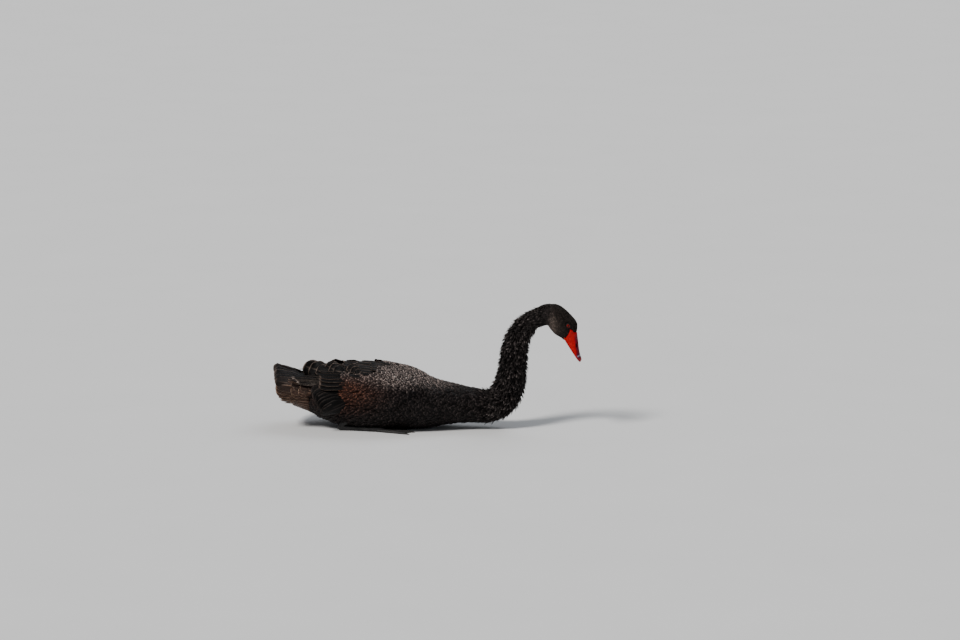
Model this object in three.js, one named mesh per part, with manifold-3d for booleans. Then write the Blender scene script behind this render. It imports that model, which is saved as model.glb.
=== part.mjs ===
// A life-size black swan afloat, as a still museum model that rests on its belly with its feet tucked under.
// Millimetres, +Z up. The bird faces +X, and its left side is +Y.
// The origin is on the floor, under the middle of the belly.
import * as THREE from 'three';
import { mergeVertices } from 'three/addons/utils/BufferGeometryUtils.js';
import Module from 'manifold-3d';

const wasm = await Module();
wasm.setup();

// Driving dimensions
const GAP = 0.3; // free space between touching pieces
const BELLY_WIDTH = 254; // widest part of the body, feathers included
const BODY_DEPTH = 175; // from the floor to the middle of the back
const NECK_WIDTH = 75; // neck at the middle of its height, feathers included
const HEAD_DEPTH = 71; // from crown to throat
const BILL_LENGTH = 100; // from the eye to the tip of the bill
const EYE_RADIUS = 6.5;
const HEAD_PITCH = 55.5; // degrees that the bill points below level
const HEAD_TURN = -14; // degrees that the head turns to the bird's right
const VANE_THICKNESS = 1.3;
const TARSUS_LENGTH = 98;
const TOE_LENGTH = 112;

// Colours
const PLUMAGE = { color: 0x17130f, roughness: 0.75, metalness: 0 };
const FLIGHT = { color: 0x1d1814, roughness: 0.6, metalness: 0 };
const BILL = { color: 0xc4140d, roughness: 0.35, metalness: 0 };
const EYE = { color: 0x8c1208, roughness: 0.1, metalness: 0 };
const FOOT = { color: 0x1a1a1b, roughness: 0.6, metalness: 0 };

const radians = THREE.MathUtils.degToRad;
const smooth = (t) => THREE.MathUtils.smoothstep(t, 0, 1);
const vector = (x, y, z) => new THREE.Vector3(x, y, z);

// Solids from closed meshes

// A solid from a closed mesh, turned right side out.
function solid(geometry) {
  const bare = geometry.clone();
  bare.deleteAttribute('normal');
  bare.deleteAttribute('uv');
  const merged = mergeVertices(bare, 1e-4);
  const vertProperties = new Float32Array(merged.attributes.position.array);
  const triVerts = new Uint32Array(merged.index.array);
  const made = new wasm.Manifold(new wasm.Mesh({ numProp: 3, vertProperties, triVerts }));
  if (made.volume() > 0) return made;
  return new wasm.Manifold(new wasm.Mesh({ numProp: 3, vertProperties, triVerts: triVerts.reverse() }));
}

function geometryOf(manifold) {
  const mesh = manifold.getMesh();
  return new THREE.BufferGeometry()
    .setAttribute('position', new THREE.BufferAttribute(new Float32Array(mesh.vertProperties), 3))
    .setIndex(new THREE.BufferAttribute(new Uint32Array(mesh.triVerts), 1));
}

// The largest closed surface of a solid: fills a sealed hollow and drops a loose scrap.
function largest(manifold) {
  const bodies = manifold.decompose();
  return bodies.reduce((best, body) => (body.volume() > best.volume() ? body : best));
}

function unite(solids) {
  return solids.reduce((whole, next) => whole.add(next));
}

// A closed skin over rings of equally many points, with flat ends.
function loft(rings) {
  const count = rings[0].length;
  const points = rings.flat();
  const faces = [];
  for (let i = 0; i + 1 < rings.length; i++) {
    for (let j = 0; j < count; j++) {
      const a = i * count + j;
      const b = i * count + (j + 1) % count;
      faces.push(a, b, b + count, a, b + count, a + count);
    }
  }
  const last = (rings.length - 1) * count;
  for (let j = 1; j + 1 < count; j++) {
    faces.push(0, j + 1, j);
    faces.push(last, last + j, last + j + 1);
  }
  return closedGeometry(points, faces);
}

function closedGeometry(points, faces) {
  const geometry = new THREE.BufferGeometry().setFromPoints(points);
  geometry.setIndex(faces);
  return geometry;
}

// The trunk: one line from the rump through the body and up the neck into the head

// Each row: x and z of the line, half width, rise to the back, fall to the belly.
const TRUNK = [
  [-274, 101, 26, 16, 20],
  [-260, 102, 60, 31, 38],
  [-235, 104, 82, 42, 54],
  [-170, 98, 0.87 * BELLY_WIDTH / 2, 62, 80],
  [-95, 90, 0.98 * BELLY_WIDTH / 2, 80, 90],
  [-15, 87, BELLY_WIDTH / 2, BODY_DEPTH - 87, 92],
  [60, 86, 0.94 * BELLY_WIDTH / 2, 78, 91],
  [120, 80, 0.8 * BELLY_WIDTH / 2, 58, 80],
  [180, 72, 0.6 * BELLY_WIDTH / 2, 53, 61],
  [235, 64, 58, 50, 49],
  [278, 63, 50, 46, 46],
  [312, 78, 46, 44, 44],
  [331, 112, 43, 43, 43],
  [342, 152, 39.5, 39, 39],
  [346, 190, NECK_WIDTH / 2 - 0.5, NECK_WIDTH / 2, NECK_WIDTH / 2],
  [350, 225, 34.5, 35, 35],
  [359, 258, 33, 33.5, 33.5],
  [376, 287, 30, 30.5, 30.5],
  [400, 309, 26, 26.5, 26.5],
  [426, 320, 24.5, 29.5, 25.5],
  [448, 325, 24, 34, 27],
  [466, 318, 23, 37, 26],
];
const TURN_AXIS_X = 385; // the neck turns the head about an upright line here
const TURN_ROWS = [16.5, 19]; // rows of the trunk over which the turn grows

// How far along the line each row lies
const ROW_AT = TRUNK.reduce((at, row, i) => {
  const before = TRUNK[i - 1];
  at.push(i ? at[i - 1] + Math.hypot(row[0] - before[0], row[1] - before[1]) : 0);
  return at;
}, []);

// Slopes that make the columns run smoothly through the rows
const ROW_SLOPE = TRUNK.map((row, i) => row.map((value, column) => {
  const slope = (k) => (TRUNK[k + 1][column] - TRUNK[k][column]) / (ROW_AT[k + 1] - ROW_AT[k]);
  if (i === 0) return slope(0);
  if (i === TRUNK.length - 1) return slope(i - 1);
  const before = ROW_AT[i] - ROW_AT[i - 1];
  const after = ROW_AT[i + 1] - ROW_AT[i];
  return (slope(i) * before + slope(i - 1) * after) / (before + after);
}));

// The row number, with a fraction, at a length along the line
function rowAt(length) {
  let i = 0;
  while (i < TRUNK.length - 2 && length > ROW_AT[i + 1]) i++;
  return i + (length - ROW_AT[i]) / (ROW_AT[i + 1] - ROW_AT[i]);
}

const lengthAt = (row) => {
  const i = Math.min(Math.floor(row), TRUNK.length - 2);
  return ROW_AT[i] + (row - i) * (ROW_AT[i + 1] - ROW_AT[i]);
};

// The trunk's five columns at a length along the line, and their slopes
function trunkAt(length) {
  const row = rowAt(length);
  const i = Math.min(Math.floor(row), TRUNK.length - 2);
  const step = ROW_AT[i + 1] - ROW_AT[i];
  const t = row - i;
  const values = [];
  const slopes = [];
  for (let c = 0; c < 5; c++) {
    const [a, b] = [TRUNK[i][c], TRUNK[i + 1][c]];
    const [m, n] = [ROW_SLOPE[i][c] * step, ROW_SLOPE[i + 1][c] * step];
    values.push(a + t * (m + t * (3 * (b - a) - 2 * m - n + t * (2 * (a - b) + m + n))));
    slopes.push((m + t * (2 * (3 * (b - a) - 2 * m - n) + t * 3 * (2 * (a - b) + m + n))) / step);
  }
  return { values, slopes };
}

// A point on the trunk at an angle from the bird's left side (90 is the back), lifted off it by a distance.
function trunkPoint(length, angle, lift = 0) {
  const { values: [x, z, half, rise, fall], slopes: [dx, dz] } = trunkAt(length);
  const along = vector(dx, 0, dz).normalize();
  const up = vector(-along.z, 0, along.x);
  const a = radians(angle);
  const height = Math.sin(a) * ((Math.sin(a) > 0 ? rise : fall) + lift);
  const point = vector(x, Math.cos(a) * (half + lift), z).addScaledVector(up, height);
  point.z = Math.max(point.z, -lift);
  return turnHead(point, smooth((rowAt(length) - TURN_ROWS[0]) / (TURN_ROWS[1] - TURN_ROWS[0])));
}

function turnHead(point, share) {
  const axis = vector(TURN_AXIS_X, 0, 0);
  return point.sub(axis).applyAxisAngle(vector(0, 0, 1), radians(HEAD_TURN) * share).add(axis);
}

function trunkSolid(from, to, sides, rings, lift = 0) {
  const made = [];
  for (let i = 0; i <= rings; i++) {
    const length = from + (to - from) * i / rings;
    made.push(Array.from({ length: sides }, (_, j) => trunkPoint(length, 360 * j / sides, lift)));
  }
  return solid(loft(made));
}

const torsoLengthAt = (x) => {
  let [low, high] = [0, lengthAt(11)];
  for (let i = 0; i < 40; i++) {
    const middle = (low + high) / 2;
    if (trunkAt(middle).values[0] < x) low = middle;
    else high = middle;
  }
  return low;
};

// Feather vanes

// Station shares of a vane's length and of its half width, root to rounded tip
const BROAD_VANE = [[0, 0.35], [0.48, 1], [0.88, 0.84], [1, 0.3]];
const SHORT_VANE = [[0, 0.4], [0.5, 1], [0.87, 0.8], [1, 0.25]];
const LONG_VANE = [[0, 0.5], [0.5, 1], [0.9, 0.75], [1, 0.15]];

// A thin cambered blade through frames of { at, side, out }, split alike on both faces.
function vane(frames, outline, width, thickness, camber) {
  const points = [];
  frames.forEach(({ at, side, out }, i) => {
    const half = outline[i][1] * width / 2;
    for (const face of [1, -1]) {
      for (const across of [-1, 0, 1]) {
        const height = face * thickness / 2 - camber * Math.abs(across) * outline[i][1];
        points.push(at.clone().addScaledVector(side, across * half).addScaledVector(out, height));
      }
    }
  });
  const faces = [];
  const quad = (a, b, c, d) => faces.push(a, b, c, a, c, d);
  const last = (frames.length - 1) * 6;
  for (let i = 0; i < last; i += 6) {
    for (const k of [0, 1]) {
      quad(i + k, i + k + 1, i + k + 7, i + k + 6);
      faces.push(i + k + 3, i + k + 10, i + k + 4, i + k + 3, i + k + 9, i + k + 10);
    }
    quad(i + 2, i + 5, i + 11, i + 8);
    quad(i + 3, i, i + 6, i + 9);
  }
  quad(0, 3, 4, 1);
  quad(1, 4, 5, 2);
  quad(last, last + 1, last + 4, last + 3);
  quad(last + 1, last + 2, last + 5, last + 4);
  return closedGeometry(points, faces);
}

// Outward direction of the trunk at a length and angle
function trunkOut(length, angle) {
  const here = trunkPoint(length, angle);
  const ahead = trunkPoint(length + 1, angle).sub(here);
  const round = trunkPoint(length, angle + 1).sub(here);
  return ahead.cross(round).normalize().negate();
}

// Frames of a feather that starts at x and angle, runs back over the body and may curl up off it.
// heading turns it from straight back towards the spine, and curl is how far its end turns off the skin.
// A straight one keeps the lie that it has at its root, as the tail's do where the rump narrows.
function featherFrames(f, outline) {
  const mirror = f.side;
  let length = torsoLengthAt(f.x);
  let { angle } = f;
  let at = trunkPoint(length, angle, f.lift);
  at.y *= mirror;
  const frames = [];
  outline.forEach(([share], i) => {
    if (i) {
      const before = frames[i - 1];
      at = before.at.clone().addScaledVector(before.along, (share - outline[i - 1][0]) * f.length);
    }
    if (i && !f.straight) {
      length = torsoLengthAt(Math.max(at.x, f.freeX ?? -230));
      const { values: [, z, half, rise] } = trunkAt(length);
      angle = THREE.MathUtils.radToDeg(Math.atan2((at.z - z) / rise, mirror * at.y / half));
    }
    const skin = trunkOut(length, angle);
    skin.y *= mirror;
    const back = vector(-1, 0, 0).addScaledVector(skin, skin.x).normalize();
    const spineward = skin.clone().cross(back).multiplyScalar(mirror);
    const heading = radians(f.heading);
    const flat = back.multiplyScalar(Math.cos(heading)).addScaledVector(spineward, Math.sin(heading));
    const pitch = radians(f.climb + (f.curl ?? 0) * smooth((share - f.curlFrom) / (1 - f.curlFrom)));
    const along = flat.clone().multiplyScalar(Math.cos(pitch)).addScaledVector(skin, Math.sin(pitch));
    const out = skin.clone().multiplyScalar(Math.cos(pitch)).addScaledVector(flat, -Math.sin(pitch));
    const side = along.clone().cross(out).applyAxisAngle(along, radians(f.roll) * mirror);
    frames.push({ at, along, side, out: side.clone().cross(along) });
  });
  return frames;
}

function feather(f, grown = 0) {
  const frames = featherFrames({ curlFrom: 0.5, ...f }, f.outline);
  return solid(vane(frames, f.outline, f.width + 2 * grown, VANE_THICKNESS + 2 * grown, f.camber));
}

// Feather tiers, as lists of feathers

const between = (a, b, t) => a + (b - a) * t;

// A repeatable draw from -1 to 1
let seed = 7;
function draw() {
  seed = (seed * 16807) % 2147483647;
  return 2 * seed / 2147483647 - 1;
}

// A row of feathers whose values run from those of the first to those of the last.
function tier(count, side, shared, first, last, spread = {}) {
  return Array.from({ length: count }, (_, i) => {
    const t = count > 1 ? i / (count - 1) : 0;
    const made = { ...shared, side };
    for (const key of Object.keys(first)) made[key] = between(first[key], last[key], t);
    for (const key of Object.keys(spread)) made[key] = (made[key] ?? 0) + spread[key] * draw();
    return made;
  });
}

// Feathers on one side of the tail: the fan, its upper coverts and its under coverts
function tailFeathers(side) {
  return [
    ...tier(6, side,
      { outline: BROAD_VANE, width: 40, roll: -10, camber: 2, lift: -2, curlFrom: 0.3, straight: true },
      { x: -224, angle: 84, heading: 1, climb: 18, curl: 10, length: 106 },
      { x: -226, angle: 2, heading: 3, climb: 27, curl: 2, length: 80 }),
    ...tier(3, side, { outline: SHORT_VANE, width: 44, roll: -10, camber: 2.5, lift: -1, straight: true },
      { x: -223, angle: 76, heading: 2, climb: 23, length: 46 },
      { x: -223, angle: 18, heading: 0, climb: 32, length: 40 }),
    ...tier(3, side, { outline: SHORT_VANE, width: 46, roll: 7, camber: 2.5, lift: -2, straight: true },
      { x: -228, angle: -16, heading: 0, climb: 27, length: 74 },
      { x: -228, angle: -72, heading: 2, climb: 21, length: 78 }),
  ];
}

// The tertials that stand up in curls, whose roots differ on the two sides
const CURLED_SHAPE = {
  outline: BROAD_VANE,
  width: 36,
  roll: 52,
  camber: 4,
  curl: 22,
  curlFrom: 0.3,
  heading: 2,
  sunk: 4,
  freeX: -215,
};
const CURLED = {
  1: [{ x: -160, length: 56, angle: 62, climb: 18 }, { x: -84, length: 50, angle: 64, climb: 12 },
    { x: -16, length: 34, angle: 66, climb: 14 }],
  '-1': [{ x: -182, length: 74, angle: 72, climb: 26 }, { x: -130, length: 66, angle: 70, climb: 22 },
    { x: -76, length: 44, angle: 62, climb: 24 }],
};

// The folded wing's arm: a pad on the torso's side, from the wrist at the front to the rump.
const WING = { front: 108, rear: -214, thickness: 11, rows: 10, columns: 5, sunk: 5, edge: 1 };

// The pad's lowest and highest angle at a share of its length
function padSpan(u) {
  const top = between(40, 89.5, Math.min(1, 1.25 * Math.sqrt(u)));
  return [32 - 42 * Math.sin(Math.PI * Math.min(1, 0.2 + u * 0.8)) * Math.min(1, 4 * u), top];
}

function padThickness(u, v) {
  const swell = Math.max(0, Math.sin(Math.PI * u) * Math.sin(Math.PI * v));
  return WING.edge + (WING.thickness - WING.edge) * Math.sqrt(swell);
}

// A wing feather's root, sunk into the pad by a distance
function rooted(f) {
  const u = (WING.front - f.x) / (WING.front - WING.rear);
  const [bottom, top] = padSpan(u);
  return { ...f, lift: padThickness(u, (f.angle - bottom) / (top - bottom)) - (f.sunk ?? 2) };
}

// Feathers of one wing, from the long primaries outwards to the coverts and the curled tertials
function wingFeathers(side) {
  const feathers = [
    ...tier(4, side, { outline: LONG_VANE, width: 30, roll: -7, camber: 1.5, climb: 3, freeX: -205 },
      { x: -92, angle: 68, heading: 4, length: 196 },
      { x: -96, angle: 34, heading: 12, length: 166 }),
    ...tier(5, side, { outline: BROAD_VANE, width: 50, roll: 10, camber: 3, curlFrom: 0.55, freeX: -215 },
      { x: -122, angle: 30, heading: -20, climb: 8, curl: 26, length: 92 },
      { x: -34, angle: 4, heading: -20, climb: 8, curl: 10, length: 92 }, { heading: 1, length: 4 }),
    ...tier(5, side, { outline: BROAD_VANE, width: 48, roll: -8, camber: 3, curlFrom: 0.6, freeX: -225 },
      { x: -100, angle: 80, heading: 2, climb: 8, curl: 22, length: 116 },
      { x: -50, angle: 26, heading: -10, climb: 8, curl: 16, length: 108 }, { heading: 1, length: 5 }),
    ...tier(5, side, { outline: SHORT_VANE, width: 52, roll: -10, camber: 3 },
      { x: -46, angle: 78, heading: 0, climb: 9, length: 66 },
      { x: 4, angle: 0, heading: -18, climb: 9, length: 66 }),
    ...tier(4, side, { outline: SHORT_VANE, width: 50, roll: -10, camber: 3 },
      { x: 22, angle: 66, heading: -2, climb: 9, length: 58 },
      { x: 56, angle: 12, heading: -16, climb: 9, length: 54 }),
    ...CURLED[side].map((curled) => ({ ...CURLED_SHAPE, side, ...curled })),
  ];
  return feathers.map(rooted);
}

// A grown copy of a solid cuts its neighbour clear of it.
const uniteFeathers = (feathers, grown) => unite(feathers.map((f) => feather(f, grown)));

// Torso, tail and neck

const SIDES = 28;
const CUT = {
  tail: torsoLengthAt(-222),
  neckBase: torsoLengthAt(175),
  neckLower: lengthAt(11.4),
  neckMiddle: lengthAt(14.2),
  neckUpper: lengthAt(17),
  head: lengthAt(19.2),
};

const torso = trunkSolid(CUT.tail + GAP / 2, CUT.neckBase - GAP / 2, SIDES, 18);
const torsoGrown = trunkSolid(CUT.tail - GAP, CUT.neckBase + GAP, SIDES, 18, GAP);
const neckBase = trunkSolid(CUT.neckBase + GAP / 2, CUT.neckLower - GAP / 2, SIDES, 9);
const neckLower = trunkSolid(CUT.neckLower + GAP / 2, CUT.neckMiddle - GAP / 2, SIDES, 6);
const neckMiddle = trunkSolid(CUT.neckMiddle + GAP / 2, CUT.neckUpper - GAP / 2, SIDES, 6);
const neckUpper = trunkSolid(CUT.neckUpper + GAP / 2, CUT.head - GAP / 2, SIDES, 6);

// The rump carries the tail's feathers, and nothing of the tail reaches forward over the torso.
function tailSolid(grown) {
  const rump = trunkSolid(0, CUT.tail - GAP / 2, SIDES, 4, grown);
  return rump.add(uniteFeathers([...tailFeathers(1), ...tailFeathers(-1)], grown));
}
const tail = largest(tailSolid(0).subtract(torsoGrown));
const tailGrown = tailSolid(GAP);

// Wings

function wingArm(side) {
  const points = [];
  const faces = [];
  const across = WING.columns + 1;
  for (const face of [1, 0]) {
    for (let i = 0; i <= WING.rows; i++) {
      const u = i / WING.rows;
      const [bottom, top] = padSpan(u);
      for (let j = 0; j <= WING.columns; j++) {
        const v = j / WING.columns;
        const lift = face ? padThickness(u, v) : -WING.sunk;
        const x = between(WING.front, WING.rear, u);
        const point = trunkPoint(torsoLengthAt(x), between(bottom, top, v), lift);
        point.y *= side;
        points.push(point);
      }
    }
  }
  const inner = (WING.rows + 1) * across;
  const quad = (a, b, c, d) => faces.push(a, b, c, a, c, d);
  for (let i = 0; i < WING.rows; i++) {
    for (let j = 0; j < WING.columns; j++) {
      const a = i * across + j;
      quad(a, a + 1, a + across + 1, a + across);
      faces.push(a + inner, a + inner + across + 1, a + inner + 1);
      faces.push(a + inner, a + inner + across, a + inner + across + 1);
    }
    const [low, high] = [i * across, i * across + WING.columns];
    quad(low, low + across, low + across + inner, low + inner);
    quad(high + across, high, high + inner, high + across + inner);
  }
  for (let j = 0; j < WING.columns; j++) {
    const rear = WING.rows * across + j;
    quad(j + 1, j, j + inner, j + 1 + inner);
    quad(rear, rear + 1, rear + 1 + inner, rear + inner);
  }
  return solid(closedGeometry(points, faces));
}

function wing(side) {
  const whole = wingArm(side).add(uniteFeathers(wingFeathers(side), 0));
  const halved = whole.trimByPlane([0, side, 0], GAP / 2);
  return largest(halved.subtract(torsoGrown).subtract(tailGrown));
}

// Head

// Places on the head are told along it towards the bill, across it to the left, and up to the crown.
const EYE_LINE = vector(507, 0, 299);
const ALONG = vector(Math.cos(radians(HEAD_PITCH)), 0, -Math.sin(radians(HEAD_PITCH)));
const CROWNWARD = vector(Math.sin(radians(HEAD_PITCH)), 0, Math.cos(radians(HEAD_PITCH)));
function headPoint(along, across, up) {
  const point = EYE_LINE.clone().addScaledVector(ALONG, along).addScaledVector(CROWNWARD, up);
  return turnHead(point.setY(across), 1);
}

// Each row: along, top, height of the widest place, bottom, half width, squareness above and below it.
const HEAD = [
  [-76, -6, -12, -18, 7, 2, 2],
  [-71, 1, -11, -26, 14, 2, 2],
  [-60, 10.5, -11, -38, 20.5, 2, 2.1],
  [-46, 16.5, -12, -46, 23.8, 2, 2.2],
  [-30, 21, -13, -49.5, 25, 2, 2.3],
  [-13, 24.5, -11, -48, 24.5, 2, 2.3],
  [0, 25.7, -9, 25.7 - HEAD_DEPTH, 22.5, 2, 2.3],
  [9, 23.7, -8, -40.5, 19.8, 2, 2.3],
  [17, 18.2, -8, -36.5, 17.2, 2, 2.3],
  [24, 11.8, -9, -34, 15.2, 2, 2.3],
  [29, 6.5, -10, -31.5, 13.6, 2, 2.3],
];
const UPPER_BILL = [
  [11, 6.5, 4.5, 2.5, 18.6, 2, 2],
  [17, 9, 1, -10, 18.4, 2, 2],
  [23.5, 9, -9, -25.3, 17.3, 2, 2.4],
  [27, 10.2, -14, -26, 16.3, 1.9, 3],
  [38, 4.9, -18, -26.6, 14.4, 1.8, 3.4],
  [52, -2.3, -20, -27, 12.9, 1.8, 3.6],
  [68, -10.8, -22, -27.4, 12.2, 1.8, 3.6],
  [82, -17.2, -24, -27.8, 12.1, 1.8, 3.6],
  [91, -19.6, -25, -28.2, 10.6, 1.9, 3.2],
  [97, -22.4, -26, -29, 7.2, 2, 2.6],
  [BILL_LENGTH + 0.7, -27, -28.5, -30.2, 2.6, 2, 2],
];
const LOWER_BILL = [
  [20, -22, -26, -29, 12.5, 2, 2],
  [30, -22, -26.5, -30.6, 13.2, 2, 2],
  [52, -22, -27.5, -31.4, 11.2, 2, 2],
  [80, -22, -28, -30.9, 10.4, 2, 2],
  [92, -24, -28.4, -30.6, 8.4, 2, 2],
  [97.5, -27.6, -29, -30.4, 4, 2, 2],
];

// One ring of such a row, grown by a distance
function headRing([along, top, wide, bottom, half, above, below], sides, grown) {
  return Array.from({ length: sides }, (_, j) => {
    const [c, s] = [Math.cos(2 * Math.PI * j / sides), Math.sin(2 * Math.PI * j / sides)];
    const power = 2 / (s > 0 ? above : below);
    const rise = s > 0 ? top - wide : wide - bottom;
    const across = (half + grown) * Math.sign(c) * Math.abs(c) ** power;
    return headPoint(along, across, wide + (rise + grown) * Math.sign(s) * Math.abs(s) ** power);
  });
}

// Rows put in between by a curve through the given ones
function refineRows(rows, steps) {
  const refined = [];
  rows.slice(0, -1).forEach((row, i) => {
    for (let k = 0; k < steps; k++) {
      const t = k / steps;
      const [before, next, after] = [rows[i - 1] ?? row, rows[i + 1], rows[i + 2] ?? rows[i + 1]];
      refined.push(row.map((value, c) => {
        const [m, n] = [(next[c] - before[c]) / 2, (after[c] - value) / 2];
        const [d, e] = [next[c] - value, 2 * (value - next[c]) + m + n];
        return value + t * (m + t * (3 * d - 2 * m - n + t * e));
      }));
    }
  });
  return [...refined, rows.at(-1)];
}

function headLoft(rows, steps, sides, grown = 0) {
  const made = refineRows(rows, steps).map((row) => headRing(row, sides, grown));
  return solid(loft(made));
}

const upperBill = (grown) => headLoft(UPPER_BILL, 1, 18, grown);
const lowerBill = (grown) => headLoft(LOWER_BILL, 1, 16, grown);

// An oval pit or ball at a place on the head
function oval(place, radius, sizes, segments) {
  const geometry = new THREE.SphereGeometry(radius, segments, segments * 0.6);
  geometry.scale(...sizes);
  geometry.rotateY(radians(HEAD_PITCH));
  geometry.rotateZ(radians(HEAD_TURN));
  const at = headPoint(...place);
  return solid(geometry.translate(at.x, at.y, at.z));
}

const EYE_AT = [-1.3, 16, 5]; // along, across and up
function eyeball(side, grown) {
  return oval([EYE_AT[0], side * EYE_AT[1], EYE_AT[2]], EYE_RADIUS + grown, [1, 1, 1], 14);
}

// The lids: a rim round the eye that leans forward and up with the side of the head
const LID = { radius: 6.8, thickness: 1.5, out: 4.1, forward: 13, upward: 15 };
function lids(side) {
  const geometry = new THREE.TorusGeometry(LID.radius, LID.thickness, 5, 16);
  geometry.translate(0, 0, LID.out);
  geometry.rotateX(-side * radians(90 - LID.upward));
  geometry.rotateZ(-side * radians(LID.forward));
  geometry.rotateY(radians(HEAD_PITCH));
  geometry.rotateZ(radians(HEAD_TURN));
  const at = headPoint(EYE_AT[0], side * EYE_AT[1], EYE_AT[2]);
  return solid(geometry.translate(at.x, at.y, at.z));
}

const NOSTRIL = [57, 7, -8.5]; // along, across and up
const nostril = (side) => oval([NOSTRIL[0], side * NOSTRIL[1], NOSTRIL[2]], 1, [4, 1.6, 1.7], 10);

function headSolid() {
  const neckEnd = trunkSolid(CUT.head + GAP / 2, lengthAt(20.8), SIDES, 3);
  const whole = unite([headLoft(HEAD, 2, 24), neckEnd, lids(1), lids(-1)]);
  const cutters = [upperBill(GAP), lowerBill(GAP), eyeball(1, GAP), eyeball(-1, GAP)];
  return largest(whole.subtract(unite(cutters)));
}

const billUpper = largest(upperBill(0).subtract(nostril(1)).subtract(nostril(-1)));
const billLower = largest(lowerBill(0).subtract(upperBill(GAP)));

// Legs and feet, folded forward along the belly so that the webs lie flat

// A round limb through points of [x, y, z, radius], flat where it meets the floor
function limb(stations, side, sides = 9) {
  const line = stations.map(([x, y, z]) => vector(x, side * y, z));
  const rings = stations.map(([, , , radius], i) => {
    const before = line[Math.max(i - 1, 0)];
    const after = line[Math.min(i + 1, line.length - 1)];
    const along = after.clone().sub(before).normalize();
    const across = vector(-along.y, along.x, 0).normalize();
    const up = along.clone().cross(across);
    return Array.from({ length: sides }, (_, j) => {
      const a = 2 * Math.PI * j / sides;
      const point = line[i].clone().addScaledVector(across, radius * Math.cos(a));
      point.addScaledVector(up, radius * Math.sin(a));
      point.z = Math.max(point.z, 0);
      return point;
    });
  });
  return solid(loft(rings));
}

const FOOT_JOINT = [-33, 78, 6.2];
const HOCK = [-33 - TARSUS_LENGTH, 66, 9];

function leg(side) {
  const [[x, y, z], [hockX, hockY, hockZ]] = [FOOT_JOINT, HOCK];
  const tarsus = [
    [hockX - 8, hockY - 1, hockZ, 6.5],
    [hockX, hockY, hockZ, 9],
    [hockX + 12, hockY + 1.5, 8, 7],
    [x - 40, y - 5, 7, 5.5],
    [x - 12, y, z, 6],
    [x - GAP, y, z, 7],
  ];
  const shin = [
    [hockX - 4, hockY, hockZ, 7],
    [hockX + 12, hockY + 4, 26, 10],
    [hockX + 30, hockY + 8, 48, 15],
  ];
  return largest(limb(tarsus, side).add(limb(shin, side)).subtract(torsoGrown));
}

// Toes as their angle outwards and their share of the longest toe
const TOES = [[-16, 0.82], [3, 1], [21, 0.95]];
const WEB_THICKNESS = 2.6;

// The web's edge in the same terms
const WEB_EDGE = [
  [-26, 0.1],
  [-18, 0.5],
  [-15, 0.78],
  [-6.5, 0.76],
  [3, 0.92],
  [12, 0.8],
  [21, 0.88],
  [24, 0.5],
  [32, 0.1],
];

function foot(side) {
  const [x, y, z] = FOOT_JOINT;
  const reach = (degrees, length) => {
    const turn = radians(degrees);
    return [x + length * Math.cos(turn), y + length * Math.sin(turn)];
  };
  const toes = TOES.flatMap(([degrees, share]) => {
    const length = share * TOE_LENGTH;
    const toe = [0.1, 0.36, 0.68, 0.9].map((at, i) => [...reach(degrees, at * length), 2.6, 5 - 0.75 * i]);
    const claw = [[...reach(degrees, 0.86 * length), 2.2, 2.4], [...reach(degrees, length), 0.8, 0.5]];
    return [limb(toe, side, 7), limb(claw, side, 5)];
  });
  const outline = new THREE.Shape(WEB_EDGE.map(([degrees, share]) => {
    const [webX, webY] = reach(degrees, share * TOE_LENGTH);
    return new THREE.Vector2(webX, side * webY);
  }));
  const web = solid(new THREE.ExtrudeGeometry(outline, { depth: WEB_THICKNESS, bevelEnabled: false }));
  const instep = limb([[x, y, z, 7], [x + 6, y, z, 7.2], [x + 22, y + 1, 4, 7]], side);
  const backToe = limb([[x + 7, y - 4, 7, 2.8], [x + 3, y - 9, 5, 2.6], [x - 8, y - 15, 3.5, 1.2]], side, 6);
  return largest(unite([instep, backToe, web, ...toes]).subtract(torsoGrown));
}

const model = new THREE.Group();

function place(name, manifold, material, parent = model) {
  const mesh = new THREE.Mesh(geometryOf(manifold), new THREE.MeshStandardMaterial(material));
  mesh.name = name;
  parent.add(mesh);
  return mesh;
}

place('torso', torso, PLUMAGE);
place('tail', tail, FLIGHT);
place('neck_base', neckBase, PLUMAGE);
place('neck_lower', neckLower, PLUMAGE);
place('neck_middle', neckMiddle, PLUMAGE);
place('neck_upper', neckUpper, PLUMAGE);
place('head', headSolid(), PLUMAGE);
place('bill_upper', billUpper, BILL);
place('bill_lower', billLower, BILL);
for (const [side, name] of [[1, 'left'], [-1, 'right']]) {
  place(`wing_${name}`, wing(side), FLIGHT);
  place(`eye_${name}`, eyeball(side, 0), EYE);
  place(`leg_${name}`, leg(side), FOOT);
  place(`foot_${name}`, foot(side), FOOT);
}

export default model;
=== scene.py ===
import math

import bpy
import numpy as np
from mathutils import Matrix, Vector
from mathutils.bvhtree import BVHTree


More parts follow.
